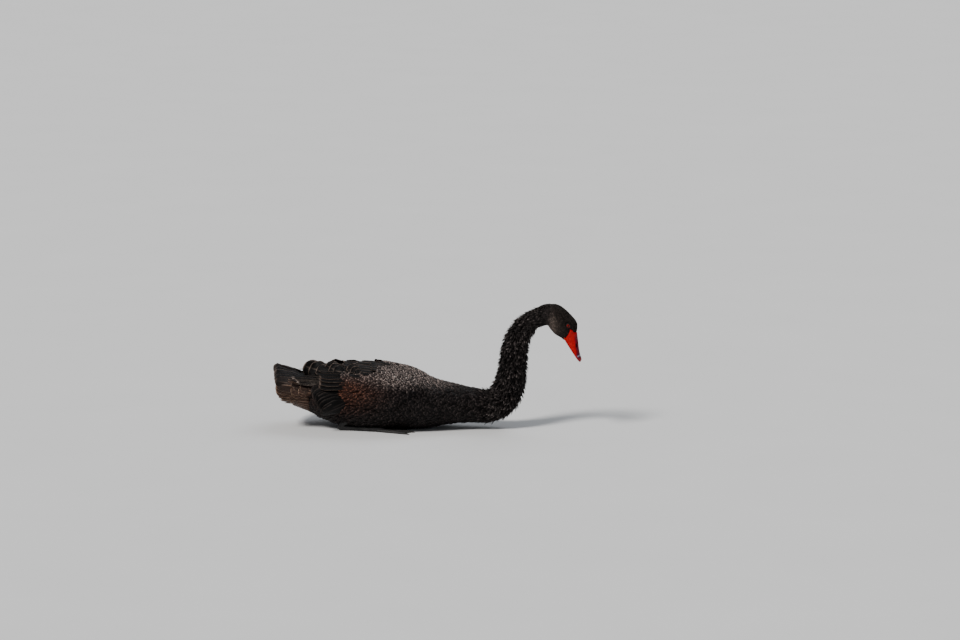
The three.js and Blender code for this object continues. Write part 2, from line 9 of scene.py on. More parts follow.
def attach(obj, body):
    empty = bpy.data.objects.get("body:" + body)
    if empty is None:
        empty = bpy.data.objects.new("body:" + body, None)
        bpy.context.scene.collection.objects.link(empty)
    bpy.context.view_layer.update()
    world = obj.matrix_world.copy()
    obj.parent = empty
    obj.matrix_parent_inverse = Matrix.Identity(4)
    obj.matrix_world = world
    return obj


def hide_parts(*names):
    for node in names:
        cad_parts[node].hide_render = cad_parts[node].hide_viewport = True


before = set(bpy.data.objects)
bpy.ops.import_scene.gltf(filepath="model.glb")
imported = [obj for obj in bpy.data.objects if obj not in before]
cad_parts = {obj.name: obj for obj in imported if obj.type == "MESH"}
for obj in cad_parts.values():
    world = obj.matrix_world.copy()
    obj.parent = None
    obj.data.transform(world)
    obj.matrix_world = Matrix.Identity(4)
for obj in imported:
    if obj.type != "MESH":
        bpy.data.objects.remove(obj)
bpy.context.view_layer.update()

# Until a mesh is made, lengths are in mm: x toward the bill, y to the left and z up. Angles round the trunk
# are in degrees, from the left flank over the back.
MM = 0.001
rng = np.random.default_rng(11)


def smooth(t):
    t = np.clip(t, 0, 1)
    return t * t * (3 - 2 * t)


def between(value, low, high):
    return smooth((value - low) / (high - low))


def unit(v):
    return v / np.maximum(np.linalg.norm(v, axis=-1, keepdims=True), 1e-9)


def arrays(*values):
    """The values as float arrays of one shape."""
    return np.broadcast_arrays(*[np.asarray(v, float) for v in values])


def cubic(a, b, m, n, t):
    """From a to b as t goes from 0 to 1, with the slopes m and n at the ends."""
    return a + t * (m + t * (3 * (b - a) - 2 * m - n + t * (2 * (a - b) + m + n)))


# The trunk's line from tail to head: x, z, half width, rise to the back, fall to the belly
TRUNK = np.array([
    [-274, 101, 26, 16, 20], [-260, 102, 60, 31, 38], [-235, 104, 82, 42, 54],
    [-170, 98, 110.5, 62, 80], [-95, 90, 124.5, 80, 90], [-15, 87, 127, 88, 92],
    [60, 86, 119.4, 78, 91], [120, 80, 101.6, 58, 80], [180, 72, 76.2, 53, 61],
    [235, 64, 58, 50, 49], [278, 63, 50, 46, 46], [312, 78, 46, 44, 44],
    [331, 112, 43, 43, 43], [342, 152, 39.5, 39, 39], [346, 190, 37, 37.5, 37.5],
    [350, 225, 34.5, 35, 35], [359, 258, 33, 33.5, 33.5], [376, 287, 30, 30.5, 30.5],
    [400, 309, 26, 26.5, 26.5], [426, 320, 24.5, 29.5, 25.5], [448, 325, 24, 34, 27],
    [466, 318, 23, 37, 26],
], float)
AT = np.concatenate([[0], np.cumsum(np.hypot(*np.diff(TRUNK[:, :2], axis=0).T))])
STEP = np.diff(AT)
SECANT = np.diff(TRUNK, axis=0) / STEP[:, None]
SLOPE = np.empty_like(TRUNK)
SLOPE[0], SLOPE[-1] = SECANT[0], SECANT[-1]
BEHIND, AHEAD = STEP[:-1, None], STEP[1:, None]
SLOPE[1:-1] = (SECANT[1:] * BEHIND + SECANT[:-1] * AHEAD) / (BEHIND + AHEAD)

# The head is turned about an upright axis, and the turn comes in over a few rows of the neck
TURN_AXIS_X = 385
HEAD_TURN = math.radians(-14)
TURN_FROM_ROW, TURN_ROWS = 16.5, 2.5
FLOOR_GAP = 0.4


def length_at(row):
    return float(np.interp(row, np.arange(len(AT)), AT))


def trunk_at(length):
    """The trunk's values at a length along it, their slopes and the row."""
    i = np.clip(np.searchsorted(AT, length, side="right") - 1, 0, len(AT) - 2)
    step = STEP[i][..., None]
    t = (length - AT[i])[..., None] / step
    a, b = TRUNK[i], TRUNK[i + 1]
    m, n = SLOPE[i] * step, SLOPE[i + 1] * step
    slopes = m + t * (2 * (3 * (b - a) - 2 * m - n) + t * 3 * (2 * (a - b) + m + n))
    return cubic(a, b, m, n, t), slopes / step, i + t[..., 0]


def turn(p, share):
    a = HEAD_TURN * share
    x, y = p[..., 0] - TURN_AXIS_X, p[..., 1]
    across = x * np.sin(a) + y * np.cos(a)
    return np.stack([x * np.cos(a) - y * np.sin(a) + TURN_AXIS_X, across, p[..., 2]], -1)


def turn_share(row):
    return smooth((row - TURN_FROM_ROW) / TURN_ROWS)


def trunk_point(length, angle, lift=0.0):
    """Points at a lift over the bare trunk, none of them under the floor."""
    length, angle, lift = arrays(length, angle, lift)
    values, slopes, row = trunk_at(length)
    x, z, half, rise, fall = np.moveaxis(values, -1, 0)
    size = np.hypot(slopes[..., 0], slopes[..., 1])
    ax, az = slopes[..., 0] / size, slopes[..., 1] / size
    a = np.radians(angle)
    height = np.sin(a) * (np.where(np.sin(a) > 0, rise, fall) + lift)
    low = np.maximum(FLOOR_GAP, -lift)
    p = np.stack([x - az * height, np.cos(a) * (half + lift), np.maximum(z + ax * height, low)], -1)
    return turn(p, turn_share(row))


TORSO_LENGTHS = np.linspace(0, length_at(11), 800)
TORSO_X = trunk_at(TORSO_LENGTHS)[0][:, 0]


def torso_length(x):
    return np.interp(x, TORSO_X, TORSO_LENGTHS)


# The folded wing's arm under its feathers, from WING_FRONT backward along x
WING_FRONT, WING_LENGTH = 108, 322
ARM_EDGE, ARM_RISE = 1, 10
COVERT_SWELL = 1.55


def arm_span(u):
    """The lowest and the highest angle of the arm."""
    top = 40 + 49.5 * np.minimum(1, 1.25 * np.sqrt(u))
    bottom = 32 - 42 * np.sin(np.pi * np.minimum(1, 0.2 + 0.8 * u)) * np.minimum(1, 4 * u)
    return bottom, top


def arm_lift(u, v):
    return ARM_EDGE + ARM_RISE * np.sqrt(np.maximum(np.sin(np.pi * u) * np.sin(np.pi * v), 0))


def arm_place(length, angle):
    """The shares of the arm's length and width at a place on the trunk."""
    u = (WING_FRONT - np.interp(length, TORSO_LENGTHS, TORSO_X)) / WING_LENGTH
    folded = 90 - np.abs((angle - 90 + 180) % 360 - 180)
    bottom, top = arm_span(np.clip(u, 0, 1))
    return u, (folded - bottom) / (top - bottom)


def body_surface(length, angle, lift=0.0, swell=1.0):
    """The trunk with the folded wings' arms on it."""
    length, angle, lift = arrays(length, angle, lift)
    u, v = arm_place(length, angle)
    inside = (u > 0) & (u < 1) & (v > 0) & (v < 1)
    arm = np.where(inside, arm_lift(np.clip(u, 0, 1), np.clip(v, 0, 1)), 0)
    return trunk_point(np.maximum(length, 0), angle, lift + swell * arm)


def coat_surface(length, angle, lift=0.0):
    """The same surface with the wings' coverts on the arms."""
    return body_surface(length, angle, lift, COVERT_SWELL)


# The head: along it to the bill, across it to the left, up to the crown
PITCH = math.radians(55.5)
EYE_LINE = np.array([507, 0, 299.0])
ALONG = np.array([math.cos(PITCH), 0, -math.sin(PITCH)])
CROWNWARD = np.array([math.sin(PITCH), 0, math.cos(PITCH)])
EYE_AT = np.array([-1.3, 16, 5])
# Rows of the head's forms: along, top, widest height, bottom, half width, roundness above and below
HEAD = np.array([
    [-76, -6, -12, -18, 7, 2, 2], [-71, 1, -11, -26, 14, 2, 2], [-60, 10.5, -11, -38, 20.5, 2, 2.1],
    [-46, 16.5, -12, -46, 23.8, 2, 2.2], [-30, 21, -13, -49.5, 25, 2, 2.3],
    [-13, 24.5, -11, -48, 24.5, 2, 2.3], [0, 25.7, -9, -45.3, 22.5, 2, 2.3],
    [9, 23.7, -8, -40.5, 19.8, 2, 2.3], [17, 18.2, -8, -36.5, 17.2, 2, 2.3],
    [24, 11.8, -9, -34, 15.2, 2, 2.3], [29, 6.5, -10, -31.5, 13.6, 2, 2.3],
])
UPPER_BILL = np.array([
    [11, 6.5, 4.5, 2.5, 18.6, 2, 2], [17, 9, 1, -10, 18.4, 2, 2], [23.5, 9, -9, -25.3, 17.3, 2, 2.4],
    [27, 10.2, -14, -26, 16.3, 1.9, 3], [38, 4.9, -18, -26.6, 14.4, 1.8, 3.4],
    [52, -2.3, -20, -27, 12.9, 1.8, 3.6], [68, -10.8, -22, -27.4, 12.2, 1.8, 3.6],
    [82, -17.2, -24, -27.8, 12.1, 1.8, 3.6], [91, -19.6, -25, -28.2, 10.6, 1.9, 3.2],
    [97, -22.4, -26, -29, 7.2, 2, 2.6], [100.7, -27, -28.5, -30.2, 2.6, 2, 2],
])
LOWER_BILL = np.array([
    [20, -22, -26, -29, 12.5, 2, 2], [30, -22, -26.5, -30.6, 13.2, 2, 2], [52, -22, -27.5, -31.4, 11.2, 2, 2],
    [80, -22, -28, -30.9, 10.4, 2, 2], [92, -24, -28.4, -30.6, 8.4, 2, 2], [97.5, -27.6, -29, -30.4, 4, 2, 2],
])


def head_point(along, across, up):
    along, across, up = np.broadcast_arrays(along, across, up)
    p = EYE_LINE + along[..., None] * ALONG + up[..., None] * CROWNWARD
    p[..., 1] = across
    return turn(p, 1.0)


def head_place(p):
    """How far along, across and up the head the points lie."""
    q = turn(p, -1) - EYE_LINE
    return np.stack([q @ ALONG, q[..., 1], q @ CROWNWARD], -1)


def curved_row(rows, r):
    i = np.clip(np.floor(r).astype(int), 0, len(rows) - 2)
    row, after = rows[i], rows[i + 1]
    m = (after - rows[np.maximum(i - 1, 0)]) / 2
    n = (rows[np.minimum(i + 2, len(rows) - 1)] - row) / 2
    return cubic(row, after, m, n, (r - i)[..., None])


def ring_point(rows, r, angle, grown=0.0):
    r, angle, grown = arrays(r, angle, grown)
    along, top, wide, bottom, half, above, below = np.moveaxis(curved_row(rows, r), -1, 0)
    c, s = np.cos(np.radians(angle)), np.sin(np.radians(angle))
    power = 2 / np.where(s > 0, above, below)
    rise = np.where(s > 0, top - wide, wide - bottom)
    across = (half + grown) * np.sign(c) * np.abs(c) ** power
    return head_point(along, across, wide + (rise + grown) * np.sign(s) * np.abs(s) ** power)


def head_surface(r, angle, lift=0.0):
    return ring_point(HEAD, np.clip(r, 0, len(HEAD) - 1), angle, lift)


# The least half width of a form made smaller, and the slices of the upper neck
SMALLEST = 0.01
SLICES, SLICE_REACH = 60, 1.5


def inside_rings(rows, p, grown=0.0):
    """Which points lie inside a form of the head that is made larger by grown."""
    q = head_place(p)
    r = np.interp(q[..., 0], rows[:, 0], np.arange(len(rows)))
    _, top, wide, bottom, half, above, below = np.moveaxis(curved_row(rows, r), -1, 0)
    up = q[..., 2] - wide
    rise = np.maximum(np.where(up > 0, top - wide, wide - bottom) + grown, SMALLEST)
    power = np.where(up > 0, above, below)
    half = np.maximum(half + grown, SMALLEST)
    full = (np.abs(q[..., 1]) / half) ** power + (np.abs(up) / rise) ** power < 1
    return full & (q[..., 0] > rows[0, 0] - grown) & (q[..., 0] < rows[-1, 0] + grown)


def inside_trunk(p, grown=0.0):
    """Which points lie inside the upper neck when it is made larger by grown."""
    values, slopes, row = trunk_at(np.linspace(length_at(17.5), length_at(20.8), SLICES))
    share, flat = turn_share(row), 0 * row
    centre = turn(np.stack([values[:, 0], flat, values[:, 1]], -1), share)
    across = turn(np.stack([values[:, 0], flat + 1, values[:, 1]], -1), share) - centre
    direction = unit(np.stack([slopes[:, 0], flat, slopes[:, 1]], -1))
    up = np.stack([values[:, 0] - direction[:, 2], flat, values[:, 1] + direction[:, 0]], -1)
    up = turn(up, share) - centre
    along = np.cross(across, up)
    found = np.zeros(p.shape[:-1], bool)
    for k in range(SLICES):
        q = p - centre[k]
        a, b = q @ across[k], q @ up[k]
        near = np.abs(q @ along[k]) < SLICE_REACH
        half, rise, fall = np.maximum(values[k, 2:] + grown, SMALLEST)
        found |= near & ((a / half) ** 2 + (b / np.where(b > 0, rise, fall)) ** 2 < 1)
    return found


# Meshes from arrays


def colour_points(mesh, colours):
    """Colour attributes of the mesh, one colour a point."""
    for key, values in colours.items():
        layer = mesh.color_attributes.new(key, "FLOAT_COLOR", "POINT")
        rgba = np.ones((len(values), 4), np.float32)
        rgba[:, :3] = values
        layer.data.foreach_set("color", rgba.ravel())


def places_of(mesh):
    """The mesh's points in mm."""
    places = np.zeros(len(mesh.vertices) * 3, np.float32)
    mesh.vertices.foreach_get("co", places)
    return places.reshape(-1, 3) / MM


def mesh_piece(name, points, quads, material, tris=None, colours=None, uvs=None, vectors=None):
    mesh = bpy.data.meshes.new(name)
    points = np.asarray(points, float).reshape(-1, 3)
    quads = np.asarray(quads, np.int32).reshape(-1, 4)
    tris = np.zeros((0, 3), np.int32) if tris is None else np.asarray(tris, np.int32).reshape(-1, 3)
    corners = np.concatenate([quads.ravel(), tris.ravel()])
    starts = np.concatenate([np.arange(len(quads)) * 4, quads.size + np.arange(len(tris)) * 3])
    mesh.vertices.add(len(points))
    mesh.vertices.foreach_set("co", (points * MM).astype(np.float32).ravel())
    mesh.loops.add(len(corners))
    mesh.loops.foreach_set("vertex_index", corners)
    mesh.polygons.add(len(starts))
    mesh.polygons.foreach_set("loop_start", starts.astype(np.int32))
    mesh.update(calc_edges=True)
    colour_points(mesh, colours or {})
    for key, values in (vectors or {}).items():
        layer = mesh.attributes.new(key, "FLOAT_VECTOR", "POINT")
        layer.data.foreach_set("vector", np.asarray(values, np.float32).ravel())
    for key, values in (uvs or {}).items():
        layer = mesh.uv_layers.new(name=key)
        layer.data.foreach_set("uv", np.asarray(values, np.float32)[corners].ravel())
    mesh.polygons.foreach_set("use_smooth", np.ones(len(starts), bool))
    mesh.materials.append(material)
    piece = bpy.data.objects.new(name, mesh)
    bpy.context.scene.collection.objects.link(piece)
    return piece


def settle(piece, nodes=None):
    """What the frame has to know of a piece; nodes are the solids it stands in for."""
    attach(piece, "root")
    if nodes is not None:
        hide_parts(*nodes)


def ring_faces(rings, sides, first=0):
    """Quads over rings and triangles to a middle point at each end, which follow the rings' points."""
    i, j = np.meshgrid(np.arange(rings - 1), np.arange(sides), indexing="ij")
    a = i * sides + j
    b = i * sides + (j + 1) % sides
    quads = np.stack([a, b, b + sides, a + sides], -1).reshape(-1, 4)
    k = np.arange(sides)
    last = (rings - 1) * sides
    start, end = rings * sides, rings * sides + 1
    tris = np.concatenate([np.stack([np.full(sides, start), (k + 1) % sides, k], -1),
                           np.stack([np.full(sides, end), last + k, last + (k + 1) % sides], -1)])
    return quads + first, tris + first


def loft_points(rings):
    """Rings of shape (rings, sides, 3) with a middle point for each end."""
    return np.concatenate([rings.reshape(-1, 3), rings[0].mean(0)[None], rings[-1].mean(0)[None]])


def loft_piece(name, shapes, material, vectors=None):
    """One mesh of closed lofts, each given as its rings."""
    points, quads, tris, count = [], [], [], 0
    for rings in shapes:
        q, t = ring_faces(*rings.shape[:2], first=count)
        points.append(loft_points(rings))
        quads.append(q)
        tris.append(t)
        count += len(points[-1])
    return mesh_piece(
        name, np.concatenate(points), np.concatenate(quads), material, np.concatenate(tris), vectors=vectors,
    )


# Thin closed blades, many at a time

BAKE_PATCH = 0.003


def blade_faces(stations, columns):
    i, j = np.meshgrid(np.arange(stations), np.arange(columns), indexing="ij")
    top = i * columns + j
    rim = (i == 0) | (i == stations - 1) | (j == 0) | (j == columns - 1)
    under = np.where(rim, top, stations * columns + (i - 1) * (columns - 2) + j - 1)

    def quads(g, flip):
        q = np.stack([g[:-1, :-1], g[:-1, 1:], g[1:, 1:], g[1:, :-1]], -1).reshape(-1, 4)
        return q[:, ::-1] if flip else q

    return np.concatenate([quads(top, False), quads(under, True)])


def coat(name, top, under, t, columns, looks, homes, material, nodes=(), limit=185000):
    """Pieces holding many blades. top and under: (count, stations, columns, 3) points of the two faces."""
    count, stations, across = top.shape[:3]
    faces = blade_faces(stations, across)
    inner = under[:, 1:-1, 1:-1].reshape(count, -1, 3)
    points = np.concatenate([top.reshape(count, -1, 3), inner], 1)
    per_blade = points.shape[1]
    tt = np.broadcast_to(t[:, None], (stations, across))
    cc = np.broadcast_to((columns[None, :] + 1) / 2, (stations, across))
    flat = np.stack([cc, tt], -1)
    vane_uv = np.concatenate([flat.reshape(-1, 2), flat[1:-1, 1:-1].reshape(-1, 2)])
    parts = math.ceil(count * len(faces) * 2 / limit)
    for k, chosen in enumerate(np.array_split(np.arange(count), parts)):
        n = len(chosen)
        quads = (faces[None] + (np.arange(n) * per_blade)[:, None, None]).reshape(-1, 4)
        patch = homes[chosen][:, None] + (vane_uv - 0.5)[None] * BAKE_PATCH
        piece = mesh_piece(
            name if parts == 1 else f"{name}_{k + 1}",
            points[chosen], quads, material,
            colours={key: np.repeat(value[chosen], per_blade, 0) for key, value in looks.items()},
            uvs={"vane": np.tile(vane_uv, (n, 1)), "OFBake": patch.reshape(-1, 2)},
        )
        settle(piece, nodes)


def laid(surface, u, v, length, width, heading, climb, lift, t, profile, columns, thick, camber,
         curl=0.0, wander=0.0, closest=0.2):
    """Blades laid along a surface from their roots at u and v, against its growing u."""
    def each(value):
        return np.broadcast_to(np.asarray(value, float), u.shape)[:, None, None]

    here = surface(u, v, lift)
    per_u = np.linalg.norm(surface(u + 0.2, v, lift) - here, axis=-1) * 5
    per_v = np.linalg.norm(surface(u, v + 1, lift) - here, axis=-1)
    s, c, wide = t[None, :, None], columns[None, None, :], profile[None, :, None]
    h = np.radians(each(heading)) + s * np.radians(each(wander))
    along = s * each(length)
    side = c * each(width) / 2 * wide
    pu, pv = each(np.maximum(per_u, closest)), each(np.maximum(per_v, 0.08))
    uu = each(u) - (along * np.cos(h) - side * np.sin(h)) / pu
    vv = each(v) + (along * np.sin(h) + side * np.cos(h)) / pv
    rise = each(lift) + along * np.sin(np.radians(each(climb))) + each(curl) * s * s
    rise = rise - each(camber) * c * c * wide
    body = thick * (1 - c * c) * np.minimum(1, 3 * (1 - s) + 0.2)
    return surface(uu, vv, rise + body), surface(uu, vv, rise - body)


def scatter(surface, rows, across, jitter_u, jitter_v):
    """Roots over a surface, row by row, at about the same distance from each other."""
    us, vs = [], []
    angles = np.linspace(0, 360, 145)
    for k, u in enumerate(rows):
        ring = surface(np.full(len(angles), u), angles, 0.0)
        arc = np.concatenate([[0], np.cumsum(np.linalg.norm(np.diff(ring, axis=0), axis=-1))])
        n = max(3, int(arc[-1] / across))
        place = (np.arange(n) + 0.5 * (k % 2) + rng.uniform(-jitter_v, jitter_v, n)) / n * arc[-1]
        vs.append(np.interp(place % arc[-1], arc, angles))
        us.append(u + rng.uniform(-jitter_u, jitter_u, n))
    return np.concatenate(us), np.concatenate(vs)


# Markings and painted light, told by place on the bird

BLACK = (0.0017, 0.0014, 0.0015)
VENT_BROWN = (0.042, 0.022, 0.015)


def lerp(a, b, share):
    share = np.clip(share, 0, 1)[..., None]
    return np.asarray(a) * (1 - share) + np.asarray(b) * share


def layered(colour, *layers):
    """The colour under layers, which are each a share and a colour."""
    for share, over in layers:
        colour = lerp(colour, over, share)
    return colour


def markings_and_painted_light(p):
    """Ground colour and fringe colour of the plumage at points in mm, with painted sunlight on the back,
    flanks, jaw and neck.
    """
    x, y, z = p[..., 0], np.abs(p[..., 1]), p[..., 2]
    trunk = 1 - between(x, 255, 300)
    shoulder = np.interp(x, [-150, -92, 0, 92, 150], [144, 141, 127, 118, 112])
    # The lighter band on the back is partly the plumage's own pale fringes and partly painted sunlight on the
    # top of the body.
    back = between(z - shoulder, 0, 26) * trunk * between(x, -225, -150)
    side = trunk * (1 - back)
    # The flank's chestnut is partly the plumage's own warm brown and partly painted sunlight on the lower
    # sides.
    flank = np.exp(-((x + 95) / 78) ** 2 - ((z - 122) / np.where(z > 122, 40, 48)) ** 2)
    flank = flank * between(y, 60, 100)
    vent = (1 - between(x, -235, -205)) * (1 - between(z, 112, 140))
    q = head_place(p)
    head = between(x, 445, 470) * between(z, 150, 180)
    # A paler patch low on the head by the jaw: painted light on the jaw's underside, not a colour of the
    # plumage.
    cheek_painted_light = np.exp(-((q[..., 0] + 34) / 26) ** 2 - ((q[..., 2] + 40) / 20) ** 2) * head
    face = head * (1 - between(q[..., 2], 4, 18)) * between(q[..., 0], -78, -48)
    ground = layered(
        BLACK, (back * 0.8, (0.0040, 0.0032, 0.0032)), (flank, (0.0110, 0.0042, 0.0028)),
        (vent, VENT_BROWN), (face, (0.0066, 0.0053, 0.0051)), (cheek_painted_light, (0.115, 0.088, 0.074)),
    )
    # The first fringe, left on the neck, stands for painted glints of sunlight on the tips of its tufts.
    fringe = layered(
        (0.060, 0.050, 0.048), (side, (0.034, 0.027, 0.026)), (back, (0.38, 0.305, 0.28)),
        (flank, (0.165, 0.066, 0.042)), (vent, (0.32, 0.20, 0.14)), (head, (0.030, 0.024, 0.021)),
        (cheek_painted_light, (0.30, 0.235, 0.20)),
    )
    return ground, fringe


def looks_at(roots, spread=0.3, middle=0.0):
    ground, fringe = markings_and_painted_light(roots)
    shade = np.exp(np.minimum(rng.normal(middle, spread, len(roots)), middle + 1.9 * spread))[:, None]
    return {"ground": ground * (0.7 + 0.3 * shade), "fringe": np.minimum(fringe * shade, 0.6)}


# Materials


class Maker:
    """Short ways to add nodes to a material. The shader's settings come with its name."""

    def __init__(self, name, **settings):
        self.material = bpy.data.materials.new(name)
        self.material.use_nodes = True
        tree = self.material.node_tree
        self.nodes, self.links, self.shader = tree.nodes, tree.links, tree.nodes["Principled BSDF"]
        for key, value in settings.items():
            self.shader.inputs[key.replace("_", " ")].default_value = value

    def put(self, socket, value):
        if hasattr(value, "is_output"):
            self.links.new(value, socket)
        else:
            socket.default_value = value

    def node(self, kind, *values, **settings):
        """A node with its settings, and the values in its first sockets."""
        node = self.nodes.new(f"ShaderNode{kind}")
        for key, value in settings.items():
            setattr(node, key, value)
        for socket, value in zip(node.inputs, values):
            self.put(socket, value)
        return node

    def math(self, operation, a, b=0.0):
        return self.node("Math", a, b, operation=operation).outputs[0]

    def plus(self, a, b):
        return self.math("ADD", a, b)

    def minus(self, a, b):
        return self.math("SUBTRACT", a, b)

    def size(self, a):
        return self.math("ABSOLUTE", a)

    def times(self, product, *others):
        for other in others:
            product = self.math("MULTIPLY", product, other)
        return product

    def ramp(self, *values):
        """Value, low and high, and what they become if not 0 and 1."""
        return self.node("MapRange", *values, interpolation_type="SMOOTHSTEP").outputs[0]

    def mix(self, share, a, b):
        node = self.node("Mix", share, data_type="RGBA")
        self.put(node.inputs[6], a)
        self.put(node.inputs[7], b)
        return node.outputs[2]

    def noise(self, scale, detail=3.0, vector=None, stretch=None):
        if vector is None:
            vector = self.node("TexCoord").outputs["Object"]
        if stretch:
            mapping = self.node("Mapping", vector)
            mapping.inputs["Scale"].default_value = stretch
            vector = mapping.outputs[0]
        node = self.node("TexNoise", vector)
        for key, value in (("Scale", scale), ("Detail", detail), ("Roughness", 0.55)):
            node.inputs[key].default_value = value
        return node.outputs["Fac"]

    def colour(self, key):
        return self.node("Attribute", attribute_name=key).outputs["Color"]

    def parts(self, vector):
        return self.node("SeparateXYZ", vector).outputs

    def vector(self, x, y, z):
        return self.node("CombineXYZ", x, y, z).outputs[0]

    def bump(self, height, strength, distance):
        node = self.node("Bump")
        for key, value in (("Strength", strength), ("Distance", distance), ("Height", height)):
            self.put(node.inputs[key], value)
        self.links.new(node.outputs[0], self.shader.inputs["Normal"])

    def paint(self, colour):
        self.put(self.shader.inputs["Base Color"], colour)
        return self.material


def feather_material(name, edge, tip, barbs, shaft, roughness):
    """Barbs, a shaft and a pale fringe, drawn along each vane's own map."""
    m = Maker(name, Roughness=roughness, Specular_IOR_Level=0.085)
    u, v, _ = m.parts(m.node("UVMap", uv_map="vane").outputs[0])
    own = m.times(m.parts(m.colour("ground"))[0], 9000.0)
    across = m.size(m.minus(m.times(u, 2.0), 1.0))
    mask = m.math("MAXIMUM", m.times(m.ramp(across, *edge), m.ramp(v, 0.15, 0.55)), m.ramp(v, *tip))
    slant = m.minus(m.times(v, float(barbs)), m.times(across, barbs * 0.35))
    barb = m.math("SINE", m.times(slant, 6.283))
    strand = m.noise(1.0, 2.0, vector=m.vector(m.times(slant, 0.8), m.times(u, 2.5), own))
    broken = m.ramp(m.plus(barb, m.times(m.noise(900, 2.0), 2.4)), 0.2, 2.0)
    share = m.times(mask, m.plus(m.times(broken, 0.6), 0.4))
    shade = m.plus(m.times(barb, 0.14), m.ramp(m.noise(160), 0.3, 0.7, 0.65, 1.3))
    shaded = m.node("VectorMath", m.mix(share, m.colour("ground"), m.colour("fringe")), operation="SCALE")
    m.put(shaded.inputs["Scale"], m.times(shade, m.ramp(strand, 0.25, 0.75, 0.45, 1.7)))
    centre = m.times(m.ramp(across, 0.11, 0.03), m.ramp(v, 1.0, 0.5, 0.0, shaft))
    m.bump(m.plus(m.times(barb, 0.35), m.ramp(across, 0.1, 0.0)), 0.5, 0.0004)
    return m.paint(m.mix(centre, shaded.outputs[0], m.colour("fringe")))


CONTOUR = feather_material("contour_feathers", (0.55, 0.95), (0.7, 0.97), barbs=46, shaft=0.5, roughness=0.5)
FLUFF = feather_material("neck_tufts", (0.5, 1.0), (0.25, 0.9), barbs=8, shaft=0.8, roughness=0.55)
FLIGHT = feather_material("vane_feathers", (0.82, 0.97), (0.93, 0.99), barbs=70, shaft=0.7, roughness=0.42)

# Skin: one closed surface from rump to face, inside the coat

SKIN_STEPS = {
    "REMESH": dict(mode="VOXEL", voxel_size=0.0022, adaptivity=0.0),
    "SMOOTH": dict(factor=0.5, iterations=6),
    "DECIMATE": dict(ratio=0.45),
}
SKIN_UNDER_HEAD = 1.2


def coat_depth(length):
    return np.interp(length, [0, *(length_at(row) for row in (9, 12, 18, 20))], [6, 6, 4.5, 3, 1.6])


def skin_piece():
    lengths = np.concatenate([[0.5], np.linspace(4, length_at(20.9), 260)])
    lengths, angles = np.meshgrid(lengths, np.arange(120) * 3.0, indexing="ij")
    trunk = body_surface(lengths, angles, -coat_depth(lengths))
    rows, turns = np.meshgrid(np.linspace(0, len(HEAD) - 1, 70), np.arange(72) * 5.0, indexing="ij")
    head = head_surface(rows, turns, -SKIN_UNDER_HEAD)
    whole = loft_piece("skin", [trunk, head], bpy.data.materials.new("bare"))
    bpy.context.view_layer.objects.active = whole
    whole.select_set(True)
    for kind, settings in SKIN_STEPS.items():
        modifier = whole.modifiers.new(kind, kind)
        for key, value in settings.items():
            setattr(modifier, key, value)
        bpy.ops.object.modifier_apply(modifier=kind)
    whole.select_set(False)
    mesh = whole.data
    ground, fringe = markings_and_painted_light(places_of(mesh))
    colour_points(mesh, {"ground": ground, "fringe": fringe})
    m = Maker("skin", Roughness=0.8, Specular_IOR_Level=0.05)
    down = m.noise(420, 4.0)
    m.bump(down, 0.6, 0.0008)
    share = m.ramp(down, 0.45, 0.8, 0.0, 0.12)
    mesh.materials.clear()
    mesh.materials.append(m.paint(m.mix(share, m.colour("ground"), m.colour("fringe"))))
    mesh.polygons.foreach_set("use_smooth", np.ones(len(mesh.polygons), bool))
    settle(whole, ["torso", "neck_base", "neck_lower", "neck_middle", "neck_upper", "head"])
    return whole


SKIN = skin_piece()

# Coat of body, neck, nape and head

# Shares of a blade's length, its width at each, and its columns from edge to edge
T5 = np.array([0, 0.3, 0.6, 0.86, 1.0])
OVAL = np.array([0.35, 0.9, 1.0, 0.72, 0.22])
C5 = np.array([-1, -0.5, 0, 0.5, 1])
T4 = np.array([0, 0.4, 0.75, 1.0])
POINTED = np.array([0.6, 1.0, 0.7, 0.08])
C3 = np.array([-1.0, 0, 1])
# How far out of the other form tufts of head and neck start, and how far from the eye's centre
OVERLAP, EYE_CLEARANCE = 0.8, 7.3


def unwrap(u, v, low, high):
    return np.stack([0.01 + 0.98 * (u - low) / (high - low), 0.01 + 0.98 * (v % 360) / 360], -1)


def body_coat():
    rows = np.arange(13, length_at(10.6), 5.5)
    u, v = scatter(coat_surface, rows, across=6.6, jitter_u=1.4, jitter_v=0.25)
    wing_u, wing_v = arm_place(u, v)
    roots = coat_surface(u, v, 0)
    ragged = rng.normal(0, 0.025, len(u))
    under_wing = (wing_u > 0.36 + ragged) & (wing_v > 0.68) | (wing_u > 0.72 + ragged)
    under_wing = under_wing & (wing_u < 1) & (wing_v > 0.1)
    into_neck = between(u, length_at(9.2), length_at(10.6))
    keep = ~under_wing & (rng.random(len(u)) > into_neck)
    u, v, roots, into_neck = u[keep], v[keep], roots[keep], into_neck[keep]
    back = between(roots[:, 2], 124, 154)
    flank = np.exp(-((roots[:, 0] + 95) / 80) ** 2) * (1 - back)
    n = len(u)
    length = (19.5 + 7 * flank - 3 * back - 4.5 * into_neck) * rng.uniform(0.85, 1.15, n)
    width = (11 - 4.6 * flank - 1.6 * back - 3.2 * into_neck) * rng.uniform(0.85, 1.15, n)
    lean = np.where(np.cos(np.radians(v)) > 0, -1, 1) * (10 * (1 - back) * (1 - flank) + 14 * flank)
    heading = lean + rng.normal(0, 9, n)
    climb = 11.5 + 3 * rng.normal(0, 1, n) + 3 * flank
    lift = -4.2 + rng.uniform(-0.5, 0.5, n)
    top, under = laid(
        coat_surface, u, v, length, width, heading, climb, lift, T5, OVAL, C5,
        thick=0.35, camber=1.4, curl=-1.0, wander=rng.normal(0, 10, n),
    )
    coat("coat_body", top, under, T5, C5, looks_at(roots), unwrap(u, v, 0, length_at(10)), CONTOUR,
         limit=150000)


